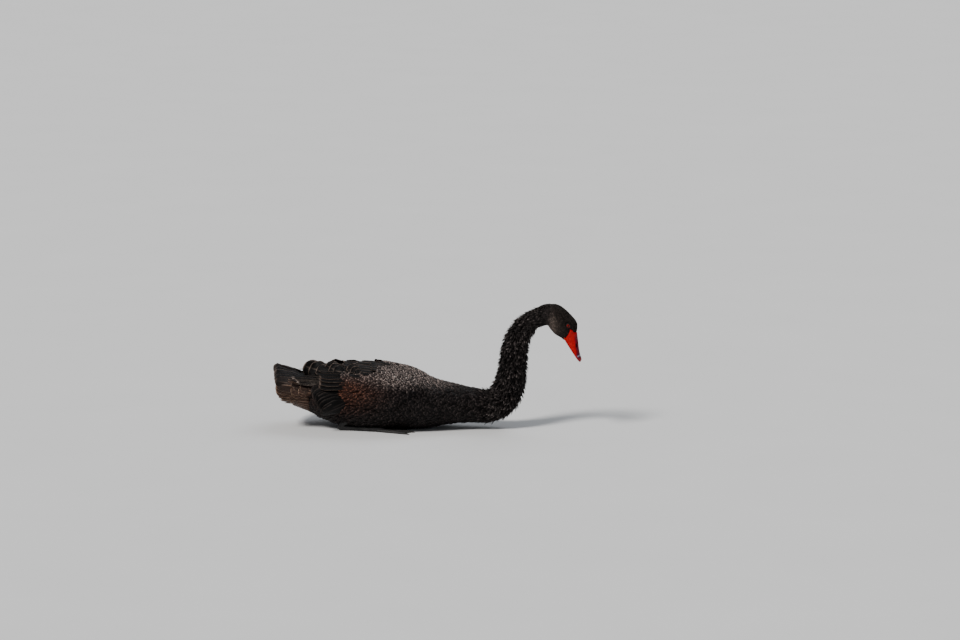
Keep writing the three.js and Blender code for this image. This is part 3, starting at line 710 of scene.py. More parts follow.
def neck_coat():
    start, fine_from, end = (length_at(row) for row in (9, 17.2, 20.6))
    rows, fine_rows = np.arange(start, fine_from, 4.2), np.arange(fine_from, end, 2.7)
    coarse = scatter(trunk_point, rows, across=4.8, jitter_u=1.2, jitter_v=0.3)
    fine = scatter(trunk_point, fine_rows, across=3.2, jitter_u=0.8, jitter_v=0.3)
    u, v = np.concatenate([coarse, fine], axis=1)
    roots = trunk_point(u, v, 0)
    thinned = rng.random(len(u)) < between(u, length_at(9), length_at(10.4))
    keep = ~inside_rings(HEAD, roots, OVERLAP) & thinned
    u, v, roots = u[keep], v[keep], roots[keep]
    n = len(u)
    small = between(u, length_at(17), length_at(19.6))
    ruff = (1 - between(u, length_at(16.5), length_at(19.3))) * between(u, length_at(9.5), length_at(12))
    length = (13 - 5.2 * small) * rng.uniform(0.8, 1.2, n)
    width = (6.0 - 2.7 * small) * rng.uniform(0.8, 1.2, n)
    depth = coat_depth(u)
    tall = rng.random(n) < 0.42 * ruff
    climb = np.degrees(np.arcsin(np.clip((depth * 0.95) / length, 0, 0.6)))
    climb = climb + np.where(tall, 23, 0) + rng.normal(0, 3, n)
    heading = rng.normal(0, 12, n) * (0.3 + 0.7 * ruff)
    top, under = laid(
        trunk_point, u, v, length, width, heading, climb, -depth * 0.8, T4, POINTED, C3,
        thick=0.5, camber=1.1, closest=0.62, curl=np.where(tall, 0.8, -0.4),
        wander=rng.normal(0, 16, n) * ruff,
    )
    # The wide spread makes a few tufts' tips far paler than the rest: painted glints of sunlight on the black
    # neck.
    looks = looks_at(roots, spread=0.95, middle=-0.75)
    coat("coat_neck", top, under, T4, C3, looks, unwrap(u, v, start, end), FLUFF)


def head_coat():
    rows = np.arange(0.35, len(HEAD) - 1.2, 0.17)
    u, v = scatter(head_surface, rows, across=2.5, jitter_u=0.05, jitter_v=0.3)
    roots = head_surface(u, v, 0)
    n = len(u)
    small = 1 - 0.36 * between(u, 4.0, 8.0)
    length, width = small * rng.uniform(5.2, 7.4, n), small * rng.uniform(2.2, 3.2, n)
    heading, climb = rng.normal(0, 8, n), 9 + rng.normal(0, 2, n)
    top, under = laid(head_surface, u, v, length, width, heading, climb, -1.0, T4, POINTED, C3,
                      thick=0.22, camber=0.35)
    q = head_place(top)
    q[..., 1] = np.abs(q[..., 1])
    clear = np.linalg.norm(q - EYE_AT, axis=-1).min((1, 2)) > EYE_CLEARANCE
    horn = inside_rings(UPPER_BILL, top, 0.3) | inside_rings(LOWER_BILL, top, 0.3)
    keep = clear & ~horn.any((1, 2)) & ~inside_trunk(roots, OVERLAP)
    looks = looks_at(roots[keep], spread=0.42, middle=-0.05)
    homes = unwrap(u[keep], v[keep], 0, len(HEAD))
    coat("coat_head", top[keep], under[keep], T4, C3, looks, homes, FLUFF)


def depth_in(test, p):
    """How far out of a form the points lie, from many sizes of it."""
    return -6 + 0.5 * sum(~test(p, grown) for grown in np.arange(-6, 9, 0.5))


NAPE_FROM_X, NAPE_REACH = 425, 7.5
NAPE_TRIES, NAPE_SPACING = 12000, 1.75


def nape_coat():
    """Tufts over the place where head and neck meet, laid on the skin itself."""
    mesh = SKIN.data
    mesh.calc_loop_triangles()
    corners = np.zeros(len(mesh.loop_triangles) * 3, np.int32)
    mesh.loop_triangles.foreach_get("vertices", corners)
    corner = places_of(mesh)[corners.reshape(-1, 3)]
    corner = corner[corner[..., 0].min(1) > NAPE_FROM_X]
    area = np.linalg.norm(np.cross(corner[:, 1] - corner[:, 0], corner[:, 2] - corner[:, 0]), axis=1)
    chosen = rng.choice(len(corner), NAPE_TRIES, p=area / area.sum())
    a, b = rng.random((2, NAPE_TRIES, 1))
    a, b = np.where(a + b > 1, 1 - a, a), np.where(a + b > 1, 1 - b, b)
    p = corner[chosen, 0] * (1 - a - b) + corner[chosen, 1] * a + corner[chosen, 2] * b
    p = p[inside_rings(HEAD, p, NAPE_REACH) & inside_trunk(p, NAPE_REACH)]
    spaced = []
    for k, point in enumerate(p):
        if not spaced or ((p[spaced] - point) ** 2).sum(1).min() > NAPE_SPACING ** 2:
            spaced.append(k)
    p = p[spaced]
    from_head = depth_in(lambda q, grown: inside_rings(HEAD, q, grown), p)
    from_neck = depth_in(inside_trunk, p)
    on_neck = smooth((from_head - from_neck) / 8 + 0.5)[:, None]
    rearward = unit(head_point(-1, 0, 0) - head_point(0, 0, 0))
    downneck = unit(trunk_point(length_at(19.4), 0, -20) - trunk_point(length_at(20.4), 0, -20))
    ways = unit(rearward * (1 - on_neck) + downneck * on_neck)
    tree = BVHTree.FromObject(SKIN, bpy.context.evaluated_depsgraph_get())
    n, length, width = len(p), rng.uniform(5.6, 7.6, len(p)), rng.uniform(2.3, 3.2, len(p))
    centre = np.zeros((n, len(T4), 3))
    out = np.zeros((n, len(T4), 3))
    for k in range(n):
        way = ways[k]
        for j, t in enumerate(T4):
            spot, normal, _, _ = tree.find_nearest(Vector((p[k] + way * t * length[k]) * MM))
            centre[k, j], out[k, j] = np.array(spot) / MM, normal
            if j == 0:
                way = unit(way - out[k, 0] * (way @ out[k, 0]))
                turned = math.radians(rng.normal(0, 8))
                way = way * math.cos(turned) + np.cross(out[k, 0], way) * math.sin(turned)
    along = unit(np.gradient(centre, axis=1))
    side = np.cross(along, out)
    c = C3[None, None, :, None]
    rise = 0.4 + T4[None, :, None] * (length * 0.19 + rng.normal(0, 0.2, n))[:, None, None] - 0.3 * C3 ** 2
    body = 0.2 * (1 - C3 ** 2) * np.minimum(1, 3 * (1 - T4) + 0.2)[None, :, None]
    middle = centre[:, :, None] + side[:, :, None] * c * (width[:, None] / 2 * POINTED)[..., None, None]
    top = middle + out[:, :, None] * (rise + body)[..., None]
    under = middle + out[:, :, None] * (rise - body)[..., None]
    q = head_place(p)
    around = np.degrees(np.arctan2(q[:, 2] + 14, q[:, 1]))
    homes = unwrap(np.clip(q[:, 0], -85, -25), around, -85, -25)
    coat("coat_nape", top, under, T4, C3, looks_at(p, spread=0.5, middle=-0.2), homes, FLUFF)


body_coat()
neck_coat()
nape_coat()
head_coat()

# Long feathers: frames through a few stations of each, then a fine blade through the frames

# Stations of the lie, then the root's share of the width, where the tip begins and how blunt it is
BROAD = ([0, 0.48, 0.88, 1], 0.4, 0.62, 2.3)
SHORT = ([0, 0.5, 0.87, 1], 0.45, 0.5, 2.0)
LONG = ([0, 0.5, 0.9, 1], 0.55, 0.6, 1.6)


def trunk_out(length, angle):
    here = trunk_point(length, angle)
    ahead = trunk_point(length + 1, angle) - here
    around = trunk_point(length, angle + 1) - here
    return -unit(np.cross(ahead, around))


def frames_of(f, shares):
    """Places along each feather, with the ways across it and out of it."""
    side = f["side"]
    length, angle = torso_length(f["x"]), f["angle"].copy()
    at = trunk_point(length, angle, f["lift"])
    at[:, 1] *= side
    places, sides, outs = [], [], []
    for k, share in enumerate(shares):
        if k:
            at = places[-1] + along * ((share - shares[k - 1]) * f["length"])[:, None]
        if k and not f["straight"]:
            length = torso_length(np.maximum(at[:, 0], f["free_x"]))
            values = trunk_at(length)[0]
            high, wide = (at[:, 2] - values[:, 1]) / values[:, 3], side * at[:, 1] / values[:, 2]
            angle = np.degrees(np.arctan2(high, wide))
        skin = trunk_out(length, angle)
        skin[:, 1] *= side
        back = unit(np.array([-1.0, 0, 0]) + skin * skin[:, :1])
        spineward = np.cross(skin, back) * side[:, None]
        h = np.radians(f["heading"])[:, None]
        flat = back * np.cos(h) + spineward * np.sin(h)
        turned = (share - f["curl_from"]) / (1 - f["curl_from"])
        pitch = np.radians(f["climb"] + f["curl"] * smooth(turned))[:, None]
        along = flat * np.cos(pitch) + skin * np.sin(pitch)
        out = skin * np.cos(pitch) - flat * np.sin(pitch)
        across = np.cross(along, out)
        r = (np.radians(f["roll"]) * side)[:, None]
        across = across * np.cos(r) + np.cross(along, across) * np.sin(r)
        places.append(at)
        sides.append(across)
        outs.append(np.cross(across, along))
    return np.stack(places, 1), np.stack(sides, 1), np.stack(outs, 1)


def through(values, shares, t):
    """A smooth curve through the values that belong to the shares."""
    shares = np.asarray(shares, float)
    step = np.diff(shares)
    secant = np.diff(values, axis=1) / step[None, :, None]
    slope = np.empty_like(values)
    slope[:, 0], slope[:, -1] = secant[:, 0], secant[:, -1]
    before, after = step[:-1][None, :, None], step[1:][None, :, None]
    slope[:, 1:-1] = (secant[:, 1:] * before + secant[:, :-1] * after) / (before + after)
    slope[:, 0] = 2 * secant[:, 0] - slope[:, 1]
    slope[:, -1] = 2 * secant[:, -1] - slope[:, -2]
    i = np.clip(np.searchsorted(shares, t, side="right") - 1, 0, len(shares) - 2)
    w = ((t - shares[i]) / step[i])[None, :, None]
    a, b = values[:, i], values[:, i + 1]
    m, n = slope[:, i] * step[i][None, :, None], slope[:, i + 1] * step[i][None, :, None]
    return cubic(a, b, m, n, w)


def lie(x, angle, heading, climb, length, **more):
    """Where a feather's root is on the left half, and how the feather lies."""
    return dict(x=x, angle=angle, heading=heading, climb=climb, length=length, **more)


def tier(count, side, shared, first, last, spread):
    """A row of feathers from the first to the last, with a random spread."""
    t = np.linspace(0, 1, count)
    made = {key: np.full(count, float(value)) for key, value in shared.items()}
    for key in first:
        made[key] = first[key] + (last[key] - first[key]) * t
    for key, value in spread.items():
        made[key] = made.get(key, np.zeros(count)) + value * rng.uniform(-1, 1, count)
    made["side"] = np.full(count, float(side))
    return made


DEFAULTS = dict(
    lift=0, sunk=2, curl=0, curl_from=0.5, free_x=-230, roll=0, camber=2, heading=0, climb=8, wave=0,
)
T_LONG = np.concatenate([np.linspace(0, 0.84, 12), [0.895, 0.94, 0.97, 0.99, 1.0]])
C_LONG = np.array([-1, -0.72, -0.4, -0.1, 0, 0.1, 0.4, 0.72, 1])


def blades(f, outline, rooted=True):
    """Both faces of each feather of a row. Rooted ones start on the wing's arm and follow the body."""
    f = {**{key: np.full(len(f["side"]), float(value)) for key, value in DEFAULTS.items()}, **f}
    f["straight"] = not rooted
    if rooted:
        u = (WING_FRONT - f["x"]) / WING_LENGTH
        bottom, top = arm_span(u)
        f["lift"] = arm_lift(u, np.clip((f["angle"] - bottom) / (top - bottom), 0, 1)) - f["sunk"]
    shares, root, tip, blunt = outline
    at, across, out = [through(values, shares, T_LONG) for values in frames_of(f, shares)]
    across, out = unit(across), unit(out)
    n = len(f["side"])
    t, c = T_LONG[None, :, None], C_LONG[None, None, :]
    half = root + (1 - root) * smooth(t / 0.5)
    half = half * np.sqrt(1 - np.clip((t - tip) / (1.006 - tip), 0, 1) ** blunt)
    half = half * (1 + 0.03 * np.sin(t * rng.uniform(9, 16, (n, 1, 1)) + rng.uniform(0, 6, (n, 1, 1))))
    half = half * f["width"][:, None, None] / 2
    wave = f["wave"][:, None, None] * c * c * np.sin(t * 11 + rng.uniform(0, 6, (n, 1, 1)) + 1.5 * c)
    height = wave * t - f["camber"][:, None, None] * c * c * (half / half.max(1, keepdims=True))
    ridge = 0.5 * np.exp(-(c / 0.09) ** 2) * (1 - t)
    body = 0.45 * (0.25 + 0.75 * (1 - c * c)) * (1 - 0.6 * t)
    at = at[:, :, None] + across[:, :, None] * (c * half)[..., None]
    top = at + out[:, :, None] * (height + body / 2 + ridge)[..., None]
    under = at + out[:, :, None] * (height - body / 2)[..., None]
    return top, under, f


def homes_of(f):
    angle = np.where(f["side"] > 0, f["angle"], 180 - f["angle"])
    return unwrap(torso_length(f["x"]), angle, 0, length_at(10))


def flight_looks(f, fringe, ground=(0.0022, 0.0018, 0.0018)):
    shade = np.exp(rng.normal(0, 0.3, len(f["side"])))[:, None]
    return {"ground": np.array(ground) * shade, "fringe": np.array(fringe) * shade}


def long_feathers(name, parts, node):
    """One piece from the faces, looks and homes of many rows."""
    tops, unders, looks, homes = zip(*parts)
    merged = {key: np.concatenate([look[key] for look in looks]) for key in looks[0]}
    coat(name, np.concatenate(tops), np.concatenate(unders), T_LONG, C_LONG, merged, np.concatenate(homes),
         FLIGHT, [node])


# Tail: the fan, its upper coverts, its under coverts and the short feathers round the vent. Each row has its
# outline, fringe, ground, count, what all its feathers share, the first one, the last one and the spread.

TAIL_FRINGE, TAIL_GROUND, VENT_FRINGE = (0.095, 0.073, 0.064), (0.0026, 0.0021, 0.0021), (0.33, 0.21, 0.145)
BRIGHT, BROWN = (TAIL_FRINGE, TAIL_GROUND), (VENT_FRINGE, VENT_BROWN)
TAIL = [
    (BROAD, *BRIGHT, 11, dict(width=44, camber=2.4, curl_from=0.3, wave=0.5),
     lie(-226, 84, 1, 31.5, 106, curl=24, roll=40, lift=-17),
     lie(-226, 2, 3, 27, 80, curl=2, roll=-10, lift=-2), dict(length=5, heading=1.6, roll=1.5)),
    (SHORT, *BRIGHT, 9, dict(width=34, roll=-10, camber=2.5),
     lie(-223, 80, 2, 18, 46, lift=-15), lie(-223, 6, 0, 29, 44, lift=1), dict(length=4, heading=2.5)),
    (SHORT, *BRIGHT, 11, dict(width=26, roll=-10, camber=2.5),
     lie(-210, 86, 2, 5, 34, lift=-9), lie(-210, 8, 0, 19, 36, lift=2), dict(length=4, heading=3)),
    (SHORT, *BROWN, 9, dict(width=28, roll=7, camber=2.5, lift=-2, wave=0.8),
     lie(-228, -14, 0, 27, 74), lie(-228, -80, 2, 21, 78), dict(length=5, heading=3)),
    (SHORT, *BROWN, 9, dict(width=26, roll=7, camber=2.5, lift=-1),
     lie(-216, -10, 0, 20, 50), lie(-214, -84, 2, 15, 56), dict(length=4, heading=4)),
    (SHORT, *BROWN, 13, dict(width=26, camber=2.5, lift=-3),
     lie(-250, 84, 2, 24, 56), lie(-250, -84, 2, 20, 48), dict(length=6, heading=5, climb=3)),
    (SHORT, *BROWN, 11, dict(width=24, camber=2.5, lift=-3),
     lie(-263, 80, 2, 27, 50), lie(-263, -80, 2, 23, 46), dict(length=6, heading=6, climb=3)),
    (SHORT, *BROWN, 9, dict(width=22, camber=2, lift=-6),
     lie(-270, 78, 2, 33, 46), lie(-270, -78, 2, 29, 42), dict(length=5, heading=6, climb=3)),
    (SHORT, *BROWN, 7, dict(width=20, camber=2, lift=-5),
     lie(-273, 72, 2, 24, 38), lie(-273, -72, 2, 22, 36), dict(length=5, heading=6, climb=3)),
]


def tail_feathers():
    parts = []
    for side in (1, -1):
        tiers = [tier(count, side, *row) for _, _, _, count, *row in TAIL]
        for (outline, fringe, ground, *_), f in zip(TAIL, tiers):
            top, under, f = blades(f, outline, rooted=False)
            low = 0.75 * between(-f["angle"], -44, -10)
            looks = flight_looks(f, fringe, ground)
            looks = {"ground": lerp(looks["ground"], VENT_BROWN, low),
                     "fringe": lerp(looks["fringe"], VENT_FRINGE, low)}
            parts.append((top, under, looks, homes_of(f)))
    long_feathers("tail_feathers", parts, "tail")


# Wings: primaries, two rows of long inner feathers and four of coverts, with the columns of the tail's rows
# but for the ground, which all share

COVERT_FRINGE = (0.13, 0.10, 0.085)
WING = [
    (LONG, (0.24, 0.195, 0.17), 8, dict(width=25, roll=-10, camber=1.2, free_x=-205),
     lie(-92, 56, 3, 1.5, 186), lie(-96, 29, 10, 1.5, 158), dict(length=5)),
    (BROAD, (0.032, 0.024, 0.021), 9,
     dict(width=40, roll=14, camber=3, curl_from=0.55, free_x=-215, wave=0.8, sunk=7),
     lie(-128, 34, -16, 9, 90, curl=20), lie(-100, 0, -26, 9, 88, curl=14),
     dict(heading=2.5, length=7, curl=2, x=4)),
    (BROAD, (0.10, 0.072, 0.058), 9,
     dict(width=36, roll=-10, camber=2.6, curl_from=0.6, free_x=-225, wave=0.4, sunk=5),
     lie(-100, 82, 2, 7, 112, curl=10), lie(-92, 34, -6, 8, 98, curl=10), dict(heading=1, length=6, curl=1)),
    (SHORT, COVERT_FRINGE, 5, dict(width=32, roll=-10, camber=2.5),
     lie(-64, 86, 0, 8, 70), lie(-52, 50, -4, 9, 62), dict(heading=6, length=6, climb=1, x=5)),
    (SHORT, COVERT_FRINGE, 5, dict(width=30, roll=-10, camber=2.5),
     lie(-40, 81, 0, 8, 60), lie(-26, 53, -4, 9, 50), dict(heading=7, length=6, climb=1, x=5)),
    (SHORT, COVERT_FRINGE, 5, dict(width=26, roll=-10, camber=2.2),
     lie(-16, 86, 0, 8, 46), lie(0, 57, -4, 9, 38), dict(heading=7, length=5, climb=1, x=5)),
    (SHORT, COVERT_FRINGE, 4, dict(width=22, roll=-8, camber=2),
     lie(4, 82, 0, 8, 36), lie(16, 62, -4, 9, 32), dict(heading=7, length=5, climb=1, x=5)),
]

# Root, length, angle, climb, width and roll of each feather that stands up in a curl, for either side
CURLED = {
    1: [(-138, 46, 66, 14, 36, 58), (-92, 46, 66, 7, 32, 44), (-26, 26, 70, 16, 15, 50)],
    -1: [(-177, 72, 72, 22, 52, 66), (-138, 50, 70, 23, 44, 64), (-76, 44, 60, 14, 40, 58)],
}
CURLED_FRINGE = (0.16, 0.12, 0.10)


def wing_feathers(side, name):
    parts = []
    tiers = [tier(count, side, *row) for _, _, count, *row in WING]
    for (outline, fringe, *_), f in zip(WING, tiers):
        top, under, f = blades(f, outline)
        parts.append((top, under, flight_looks(f, fringe), homes_of(f)))
    for x, length, angle, climb, width, roll in CURLED[side]:
        shared = dict(camber=width / 8, curl=16, curl_from=0.3, sunk=3, free_x=-215, wave=width / 22)
        f = tier(3, side, dict(width=width, **shared), lie(x, angle, 2, climb, length, roll=roll),
                 lie(x + 0.25 * length, angle - 9, -4, climb * 0.9, length * 0.7, roll=roll * 0.65),
                 dict(roll=6, width=width / 12))
        top, under, f = blades(f, BROAD)
        parts.append((top, under, flight_looks(f, CURLED_FRINGE), homes_of(f)))
    long_feathers(f"feathers_{name}", parts, name)


tail_feathers()
wing_feathers(1, "wing_left")
wing_feathers(-1, "wing_right")

# Bill

BILL_STEPS, BILL_SIDES = 20, 112
NOSTRIL_ALONG, NOSTRIL_UP, NOSTRIL_SLANT = 57.0, -9.6, 0.45
NOSTRIL_LENGTH, NOSTRIL_HEIGHT, NOSTRIL_DEPTH = 7.0, 1.9, 4.2


def bill_piece(name, rows, material, node, shape=None):
    steps = np.linspace(0, len(rows) - 1, (len(rows) - 1) * BILL_STEPS + 1)
    r, a = np.meshgrid(steps, np.arange(BILL_SIDES) * 360 / BILL_SIDES, indexing="ij")
    rings = ring_point(rows, r, a)
    if shape:
        rings = shape(rings)
    piece = loft_piece(name, [rings], material, {"place": head_place(loft_points(rings))})
    settle(piece, [node])


def with_nostrils(rings):
    """Slots sunk into the sides of the upper bill, with a low rim, and a raised tip."""
    q = head_place(rings)
    ahead = q[..., 0] - NOSTRIL_ALONG
    off = q[..., 2] - NOSTRIL_UP + NOSTRIL_SLANT * ahead
    far = np.sqrt((ahead / NOSTRIL_LENGTH) ** 2 + (off / NOSTRIL_HEIGHT) ** 2)
    side = np.sign(q[..., 1]) * (np.abs(q[..., 1]) > 2)
    rim = 0.35 * np.exp(-((far - 1.25) / 0.25) ** 2)
    q[..., 1] -= side * (NOSTRIL_DEPTH * (1 - between(far, 0.35, 1.0)) - rim)
    q[..., 2] += 0.5 * between(q[..., 0], 91, 97) * (q[..., 2] > -24.5)
    return head_point(*np.moveaxis(q, -1, 0))


def bill_material():
    m = Maker("bill", Roughness=0.38, Coat_Weight=0.06, Coat_Roughness=0.18, Specular_IOR_Level=0.13)
    along, across, up = m.parts(m.colour("place"))
    blotch = m.noise(110, 4.0)
    wavy = m.plus(along, m.times(blotch, 2.5))
    ridge = m.minus(m.plus(up, m.times(along, 0.5)), m.times(m.size(across), 0.35))
    gape = m.times(m.ramp(along, 40, 20), m.ramp(up, -14, -27))
    # The culmen's far side darkened to purple-black: painted shade.
    painted_culmen_shade = m.times(m.ramp(ridge, 10.0, 18.5), m.ramp(along, 20, 44))
    # A dark purple patch on the bill's top round the band near the tip: painted shade.
    painted_tip_shade = m.times(m.ramp(wavy, 76.0, 83.0), m.ramp(wavy, 93.0, 90.0), m.ramp(up, -26.0, -20.0))
    # The pale band near the tip is the bill's own white band, greyed to lilac as painted shade.
    white_band_in_painted_shade = m.times(m.ramp(wavy, 83.4, 84.6), m.ramp(wavy, 88.6, 87.6),
                   m.ramp(m.plus(up, m.times(blotch, 3.0)), -23.0, -20.0))
    nail, seam = m.ramp(along, 90, 92.5), m.ramp(up, -25.8, -26.8)
    red = m.mix(m.ramp(blotch, 0.35, 0.7), (0.44, 0.0010, 0.0016, 1), (0.29, 0.0006, 0.0016, 1))
    for share, strength, colour in (
        (gape, 0.75, (0.46, 0.014, 0.005, 1)), (painted_culmen_shade, 0.8, (0.050, 0.0015, 0.014, 1)),
        (painted_tip_shade, 0.8, (0.055, 0.002, 0.022, 1)), (white_band_in_painted_shade, 0.8, (0.30, 0.26, 0.35, 1)),
        (nail, 0.6, (0.34, 0.015, 0.018, 1)), (seam, 0.45, (0.20, 0.008, 0.008, 1)),
    ):
        red = m.mix(m.times(share, strength), red, colour)
    # The nostril's inside is painted near-black as painted shade in the opening, and it is made rougher there
    # too.
    ahead = m.minus(along, NOSTRIL_ALONG)
    off = m.plus(m.minus(up, NOSTRIL_UP), m.times(ahead, NOSTRIL_SLANT))
    far = [m.math("POWER", m.size(m.math("DIVIDE", value, reach)), 2.0)
           for value, reach in ((ahead, NOSTRIL_LENGTH), (off, NOSTRIL_HEIGHT))]
    nostril_painted_shade = m.ramp(m.plus(*far), 0.9, 0.35)
    m.put(m.shader.inputs["Roughness"], m.plus(m.ramp(blotch, 0.3, 0.7, 0.32, 0.46), m.times(nostril_painted_shade, 0.4)))
    fine = m.noise(700, stretch=(1, 1, 0.35))
    grain = m.noise(1.0, vector=m.vector(m.times(along, 0.12), m.times(across, 0.9), m.times(up, 0.9)))
    m.bump(m.plus(m.plus(fine, m.times(blotch, 1.6)), m.times(grain, 1.3)), 0.3, 0.0006)
    return m.paint(m.mix(nostril_painted_shade, red, (0.004, 0.0006, 0.0008, 1)))


BILL = bill_material()
bill_piece("bill_top", UPPER_BILL, BILL, "bill_upper", shape=with_nostrils)
bill_piece("bill_bottom", LOWER_BILL, BILL, "bill_lower")

# Eyes and lids

EYE_RADIUS, CORNEA_RISE = 6.5, 0.55
EYE_TILT, EYE_FORWARD = math.radians(15), math.radians(13)
BALL_RINGS, BALL_SIDES = 48, 56
LID_STEPS, LID_SIDES = 72, 20


def eye_material():
    m = Maker("eye", Roughness=0.08, Coat_Weight=0.12, Coat_Roughness=0.02, Specular_IOR_Level=0.14)
    axial, _, _ = m.parts(m.colour("place"))
    rays = m.noise(60, vector=m.colour("iris"))
    iris = m.mix(rays, (0.19, 0.0035, 0.003, 1), (0.42, 0.013, 0.008, 1))
    iris = m.mix(m.ramp(axial, 0.80, 0.70), iris, (0.05, 0.002, 0.002, 1))
    return m.paint(m.mix(m.ramp(axial, 0.905, 0.925), iris, (0.002, 0.002, 0.002, 1)))


def lid_material():
    m = Maker("lids", Roughness=0.6, Specular_IOR_Level=0.16)
    around = m.noise(500)
    inner, _, _ = m.parts(m.colour("place"))
    dark = m.mix(m.ramp(around, 0.3, 0.7), (0.0035, 0.003, 0.003, 1), (0.022, 0.015, 0.013, 1))
    m.bump(around, 0.7, 0.0007)
    return m.paint(m.mix(m.ramp(inner, 0.62, 0.95, 0.0, 0.7), dark, (0.06, 0.007, 0.006, 1)))


def eyeball(name, centre, axis, east, north, material):
    polar, turns = np.meshgrid(np.linspace(0.02, math.pi - 0.02, BALL_RINGS),
                               np.arange(BALL_SIDES) * 2 * math.pi / BALL_SIDES, indexing="ij")
    radius = EYE_RADIUS + CORNEA_RISE * smooth((np.cos(polar) - 0.70) / 0.3)
    ways = (np.cos(polar), np.sin(polar) * np.cos(turns), np.sin(polar) * np.sin(turns))
    local = sum(share[..., None] * way for share, way in zip(ways, (axis, east, north)))
    ball = centre + radius[..., None] * local
    axial = np.concatenate([np.cos(polar).ravel(), [1, -1]])
    iris = np.stack([np.cos(turns), np.sin(turns), 0 * turns], -1).reshape(-1, 3)
    vectors = {"place": np.stack([axial, 0 * axial, 0 * axial], -1),
               "iris": np.concatenate([iris, np.zeros((2, 3))])}
    piece = loft_piece(f"eyeball_{name}", [head_point(*np.moveaxis(ball, -1, 0))], material, vectors)
    settle(piece, [f"eye_{name}"])


def lids(name, centre, axis, east, north, material):
    """A creased ring of skin round the eye, fatter above."""
    a, b = np.meshgrid(np.arange(LID_STEPS) * 2 * math.pi / LID_STEPS,
                       np.arange(LID_SIDES) * 2 * math.pi / LID_SIDES, indexing="ij")
    fat = 1.35 + 0.35 * np.maximum(np.sin(a), 0)
    crease = 1 + 0.06 * np.sin(3 * a + 5 * b)
    reach_e = (5.7 + 0.8 * np.cos(a) ** 2 + fat * np.cos(b) * crease) * np.cos(a)
    reach_n = (5.0 + 0.3 * np.sin(a) + fat * np.cos(b) * crease) * np.sin(a)
    flat = np.minimum(np.hypot(reach_e, reach_n), 7)
    out = np.sqrt(np.maximum(7.05 ** 2 - flat ** 2, 0.5)) * 0.55 + 1.9 + 1.1 * fat * np.sin(b)
    rim = centre + out[..., None] * axis + reach_e[..., None] * east + reach_n[..., None] * north
    i, j = np.meshgrid(np.arange(LID_STEPS), np.arange(LID_SIDES), indexing="ij")
    corners = [((i + di) % LID_STEPS) * LID_SIDES + (j + dj) % LID_SIDES
               for di, dj in ((0, 0), (0, 1), (1, 1), (1, 0))]
    quads = np.stack(corners, -1)
    inner = ((1 - np.cos(b)) / 2).ravel()
    piece = mesh_piece(f"lids_{name}", head_point(*np.moveaxis(rim, -1, 0)), quads, material,
                       vectors={"place": np.stack([inner, inner, inner], -1)})
    settle(piece)


def eyes():
    horn, lid = eye_material(), lid_material()
    level = math.cos(EYE_FORWARD) * math.cos(EYE_TILT)
    for side, name in ((1, "left"), (-1, "right")):
        axis = unit(np.array([math.sin(EYE_FORWARD), side * level, math.sin(EYE_TILT)]))
        east = unit(np.cross(axis, [0, 0, 1.0]))
        frame_of_eye = (EYE_AT * [1, side, 1], axis, east, np.cross(east, axis))
        eyeball(name, *frame_of_eye, horn)
        lids(name, *frame_of_eye, lid)


eyes()

# Legs and feet, folded forward along the belly


def foot_material(name, dark, light, scale):
    m = Maker(name, Roughness=0.5, Specular_IOR_Level=0.3)
    scutes = m.node("TexVoronoi", m.node("TexCoord").outputs["Object"], feature="DISTANCE_TO_EDGE")
    scutes.inputs["Scale"].default_value = scale
    edge = m.ramp(scutes.outputs["Distance"], 0.0, 0.14)
    m.bump(edge, 0.6, 0.0005)
    share = m.times(edge, m.ramp(m.noise(45), 0.25, 0.75, 0.4, 1.0))
    return m.paint(m.mix(share, (*dark, 1), (*light, 1)))


LEG_SKIN = foot_material("leg_skin", (0.008, 0.008, 0.0085), (0.036, 0.034, 0.034), 380)
WEB_SKIN = foot_material("web_skin", (0.007, 0.0068, 0.007), (0.026, 0.024, 0.024), 620)
CLAW = foot_material("claw_horn", (0.006, 0.005, 0.005), (0.030, 0.026, 0.024), 60)
FOOT_JOINT = (-33, 78, 6.2)
HOCK = (-131, 66, 9.0)
# The way of each front toe in degrees outward, and its share of the longest one's length
TOES = [(-16, 0.82), (3, 1.0), (21, 0.95)]
TOE_LENGTH = 112
WEB_EDGE = ([-26, -22, -18, -15.5, -6.5, 3, 12, 21, 24, 28, 32],
            [0.12, 0.3, 0.5, 0.78, 0.745, 0.92, 0.79, 0.88, 0.5, 0.3, 0.12])
WEB_UNDERSIDE = 0.15
LOWEST = 0.05


def limb(stations, side, sides=28, rings=60, scutes=0.0, pitch=3.4, swell=None):
    """A round limb through stations of x, y, z and radius, with scutes round it, kept above the floor."""
    stations = np.array(stations, float)
    at = np.concatenate([[0], np.cumsum(np.linalg.norm(np.diff(stations[:, :3], axis=0), axis=1))])
    t = np.linspace(0, at[-1], rings)
    line = through(stations[None], at, t)[0]
    line[:, 1] *= side
    along = unit(np.gradient(line[:, :3], axis=0))
    across = unit(np.stack([-along[:, 1], along[:, 0], 0 * t], -1))
    up = np.cross(along, across)
    a = np.arange(sides) * 2 * math.pi / sides
    ribs = scutes * np.abs(np.sin(math.pi * t / pitch))[:, None] * between(np.sin(a), -0.3, 0.4)
    radius = line[:, 3, None] * (1 + ribs)
    if swell:
        radius = radius * swell(t / at[-1])[:, None]
    points = line[:, None, :3] + across[:, None] * (radius * np.cos(a))[..., None]
    points = points + up[:, None] * (radius * np.sin(a))[..., None]
    points[..., 2] = np.maximum(points[..., 2], LOWEST)
    return points


def reach(degrees, length):
    turned = np.radians(degrees)
    return FOOT_JOINT[0] + length * np.cos(turned), FOOT_JOINT[1] + length * np.sin(turned)


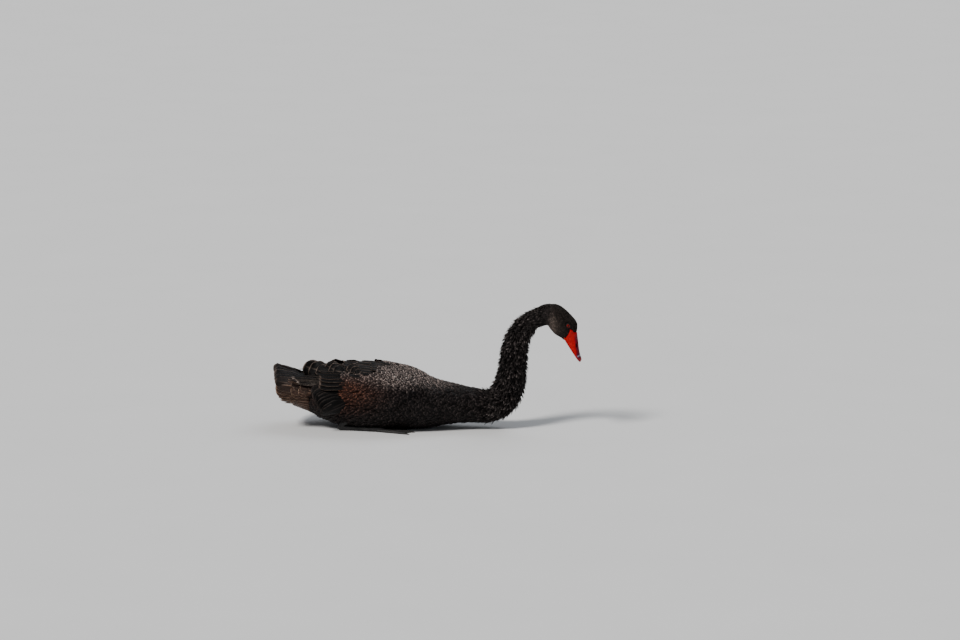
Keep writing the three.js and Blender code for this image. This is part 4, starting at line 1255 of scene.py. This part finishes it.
def web(side, name):
    """The skin between the toes: hollowed edges, and folds that run out along it."""
    out = np.linspace(0.02, 1, 40)
    share, degree = np.meshgrid(out, np.linspace(WEB_EDGE[0][0], WEB_EDGE[0][-1], 117), indexing="ij")
    length = share * np.interp(degree, *WEB_EDGE) * TOE_LENGTH
    x, y = reach(degree, length)
    folds = 0.35 * np.sin(np.radians(degree) * 90) * between(share, 0.1, 0.4) + 0.25 * np.sin(length * 0.55)
    height = 2.1 + 0.9 * (1 - share) + folds * between(1 - share, 0, 0.12)
    top = np.stack([x, side * y, height], -1)
    under = np.stack([x, side * y, np.full_like(x, WEB_UNDERSIDE)], -1)
    faces = blade_faces(*top.shape[:2])
    if side > 0:
        faces = faces[:, ::-1]
    points = np.concatenate([top.reshape(-1, 3), under[1:-1, 1:-1].reshape(-1, 3)])
    settle(mesh_piece(f"web_{name}", points, faces, WEB_SKIN))


def knuckles(t):
    return 1 + 0.13 * np.exp(-((t - 0.3) / 0.05) ** 2) + 0.12 * np.exp(-((t - 0.62) / 0.045) ** 2)


def leg(side, name):
    """The shank, flat on the floor from the hock forward to the foot, and the shin up into the belly."""
    (x, y, z), (hx, hy, hz) = FOOT_JOINT, HOCK
    shank = [(hx - 9, hy - 1, hz, 3.5), (hx - 5, hy - 0.5, hz, 7.6), (hx + 3, hy, hz, 9),
             (hx + 14, hy + 1.5, 8, 7), (x - 40, y - 5, 7, 5.6), (x - 12, y, z, 6), (x - 1, y, z, 7)]
    shin = [(hx - 3, hy, hz, 6.8), (hx + 12, hy + 4, 26, 9.6), (hx + 30, hy + 8, 48, 14)]
    shapes = [limb(shank, side, rings=150, scutes=0.07), limb(shin, side, rings=50, scutes=0.05)]
    settle(loft_piece(f"leg_{name}_skin", shapes, LEG_SKIN), [f"leg_{name}"])


def foot(side, name):
    """Three front toes, the palm, a small hind toe and all their claws."""
    x, y, z = FOOT_JOINT
    toes, claws = [], []
    for degrees, share in TOES:
        length = share * TOE_LENGTH
        stations = [(*reach(degrees, a * length), 3.0, 5.2 - 0.8 * k)
                    for k, a in enumerate((0.06, 0.34, 0.66, 0.88))]
        toes.append(limb(stations, side, rings=120, scutes=0.09, pitch=2.6, swell=knuckles))
        stations = [(*reach(degrees, a * length), z_tip, radius)
                    for a, z_tip, radius in ((0.84, 2.6, 2.3), (0.93, 2.2, 1.7), (1, 0.6, 0.35))]
        claws.append(limb(stations, side, sides=18, rings=24))
    palm = [(x - 1, y, z, 6.6), (x + 7, y, z, 7.2), (x + 24, y + 1, 4, 6.4)]
    hind = [(x + 7, y - 4, 7, 2.8), (x + 3, y - 9, 5, 2.6), (x - 5, y - 13.5, 3.8, 1.9)]
    hind_claw = [(x - 3.5, y - 12.6, 3.9, 1.7), (x - 8, y - 15, 3.3, 0.4)]
    toes.append(limb(palm, side, rings=40, scutes=0.07))
    toes.append(limb(hind, side, sides=20, rings=30, scutes=0.06))
    claws.append(limb(hind_claw, side, sides=14, rings=14))
    settle(loft_piece(f"toes_{name}", toes, LEG_SKIN), [f"foot_{name}"])
    settle(loft_piece(f"claws_{name}", claws, CLAW), [])


for side, name in ((1, "left"), (-1, "right")):
    leg(side, name)
    foot(side, name)
    web(side, name)

# Stage, camera and lights

CAMERA_AZIMUTH, CAMERA_ELEVATION = math.radians(5), math.radians(10)
CAMERA_DISTANCE, LENS, SENSOR = 12000, 160.7, 36
# What the camera looks at, to its right, up and ahead of the frame's zero
LOOK_AT = (252, 298.6, -36.3)
FLOOR = np.array([[-60000.0, -30000, 0], [60000, -30000, 0], [60000, 90000, 0], [-60000, 90000, 0]])


def floor_material():
    m = Maker("floor", Roughness=0.85)
    return m.paint(m.mix(m.noise(3.0, 2.0), (0.76, 0.77, 0.78, 1), (0.80, 0.81, 0.82, 1)))


def camera():
    a, e = CAMERA_AZIMUTH, CAMERA_ELEVATION
    right = np.array([math.cos(a), math.sin(a), 0])
    up = np.array([-math.sin(a) * math.sin(e), math.cos(a) * math.sin(e), math.cos(e)])
    ahead = np.cross(up, right)
    target = LOOK_AT[0] * right + LOOK_AT[1] * up + LOOK_AT[2] * ahead
    data = bpy.data.cameras.new("camera")
    data.sensor_width, data.lens, data.clip_end = SENSOR, LENS, 100
    seen = bpy.data.objects.new("camera", data)
    seen.location = (target - ahead * CAMERA_DISTANCE) * MM
    seen.rotation_euler = (math.pi / 2 - e, 0, a)
    bpy.context.scene.collection.objects.link(seen)
    bpy.context.scene.camera = seen


def sun(name, azimuth, elevation, strength, spread, colour):
    """A soft far light from a side told as the camera's is: 0 lights along +Y."""
    data = bpy.data.lights.new(name, "SUN")
    data.energy, data.angle, data.color = strength, math.radians(spread), colour
    lamp = bpy.data.objects.new(name, data)
    lamp.rotation_euler = (math.radians(90 - elevation), 0, math.radians(azimuth))
    bpy.context.scene.collection.objects.link(lamp)


def sky():
    world = bpy.data.worlds.new("studio")
    world.use_nodes = True
    background = world.node_tree.nodes["Background"]
    background.inputs["Color"].default_value = (0.86, 0.89, 0.93, 1)
    background.inputs["Strength"].default_value = 0.24
    bpy.context.scene.world = world


mesh_piece("floor", FLOOR, [[0, 1, 2, 3]], floor_material())
camera()
sun("key", azimuth=-38, elevation=46, strength=3.3, spread=16, colour=(1.0, 0.965, 0.92))
sun("rim", azimuth=150, elevation=52, strength=0.8, spread=40, colour=(0.93, 0.96, 1.0))
sky()
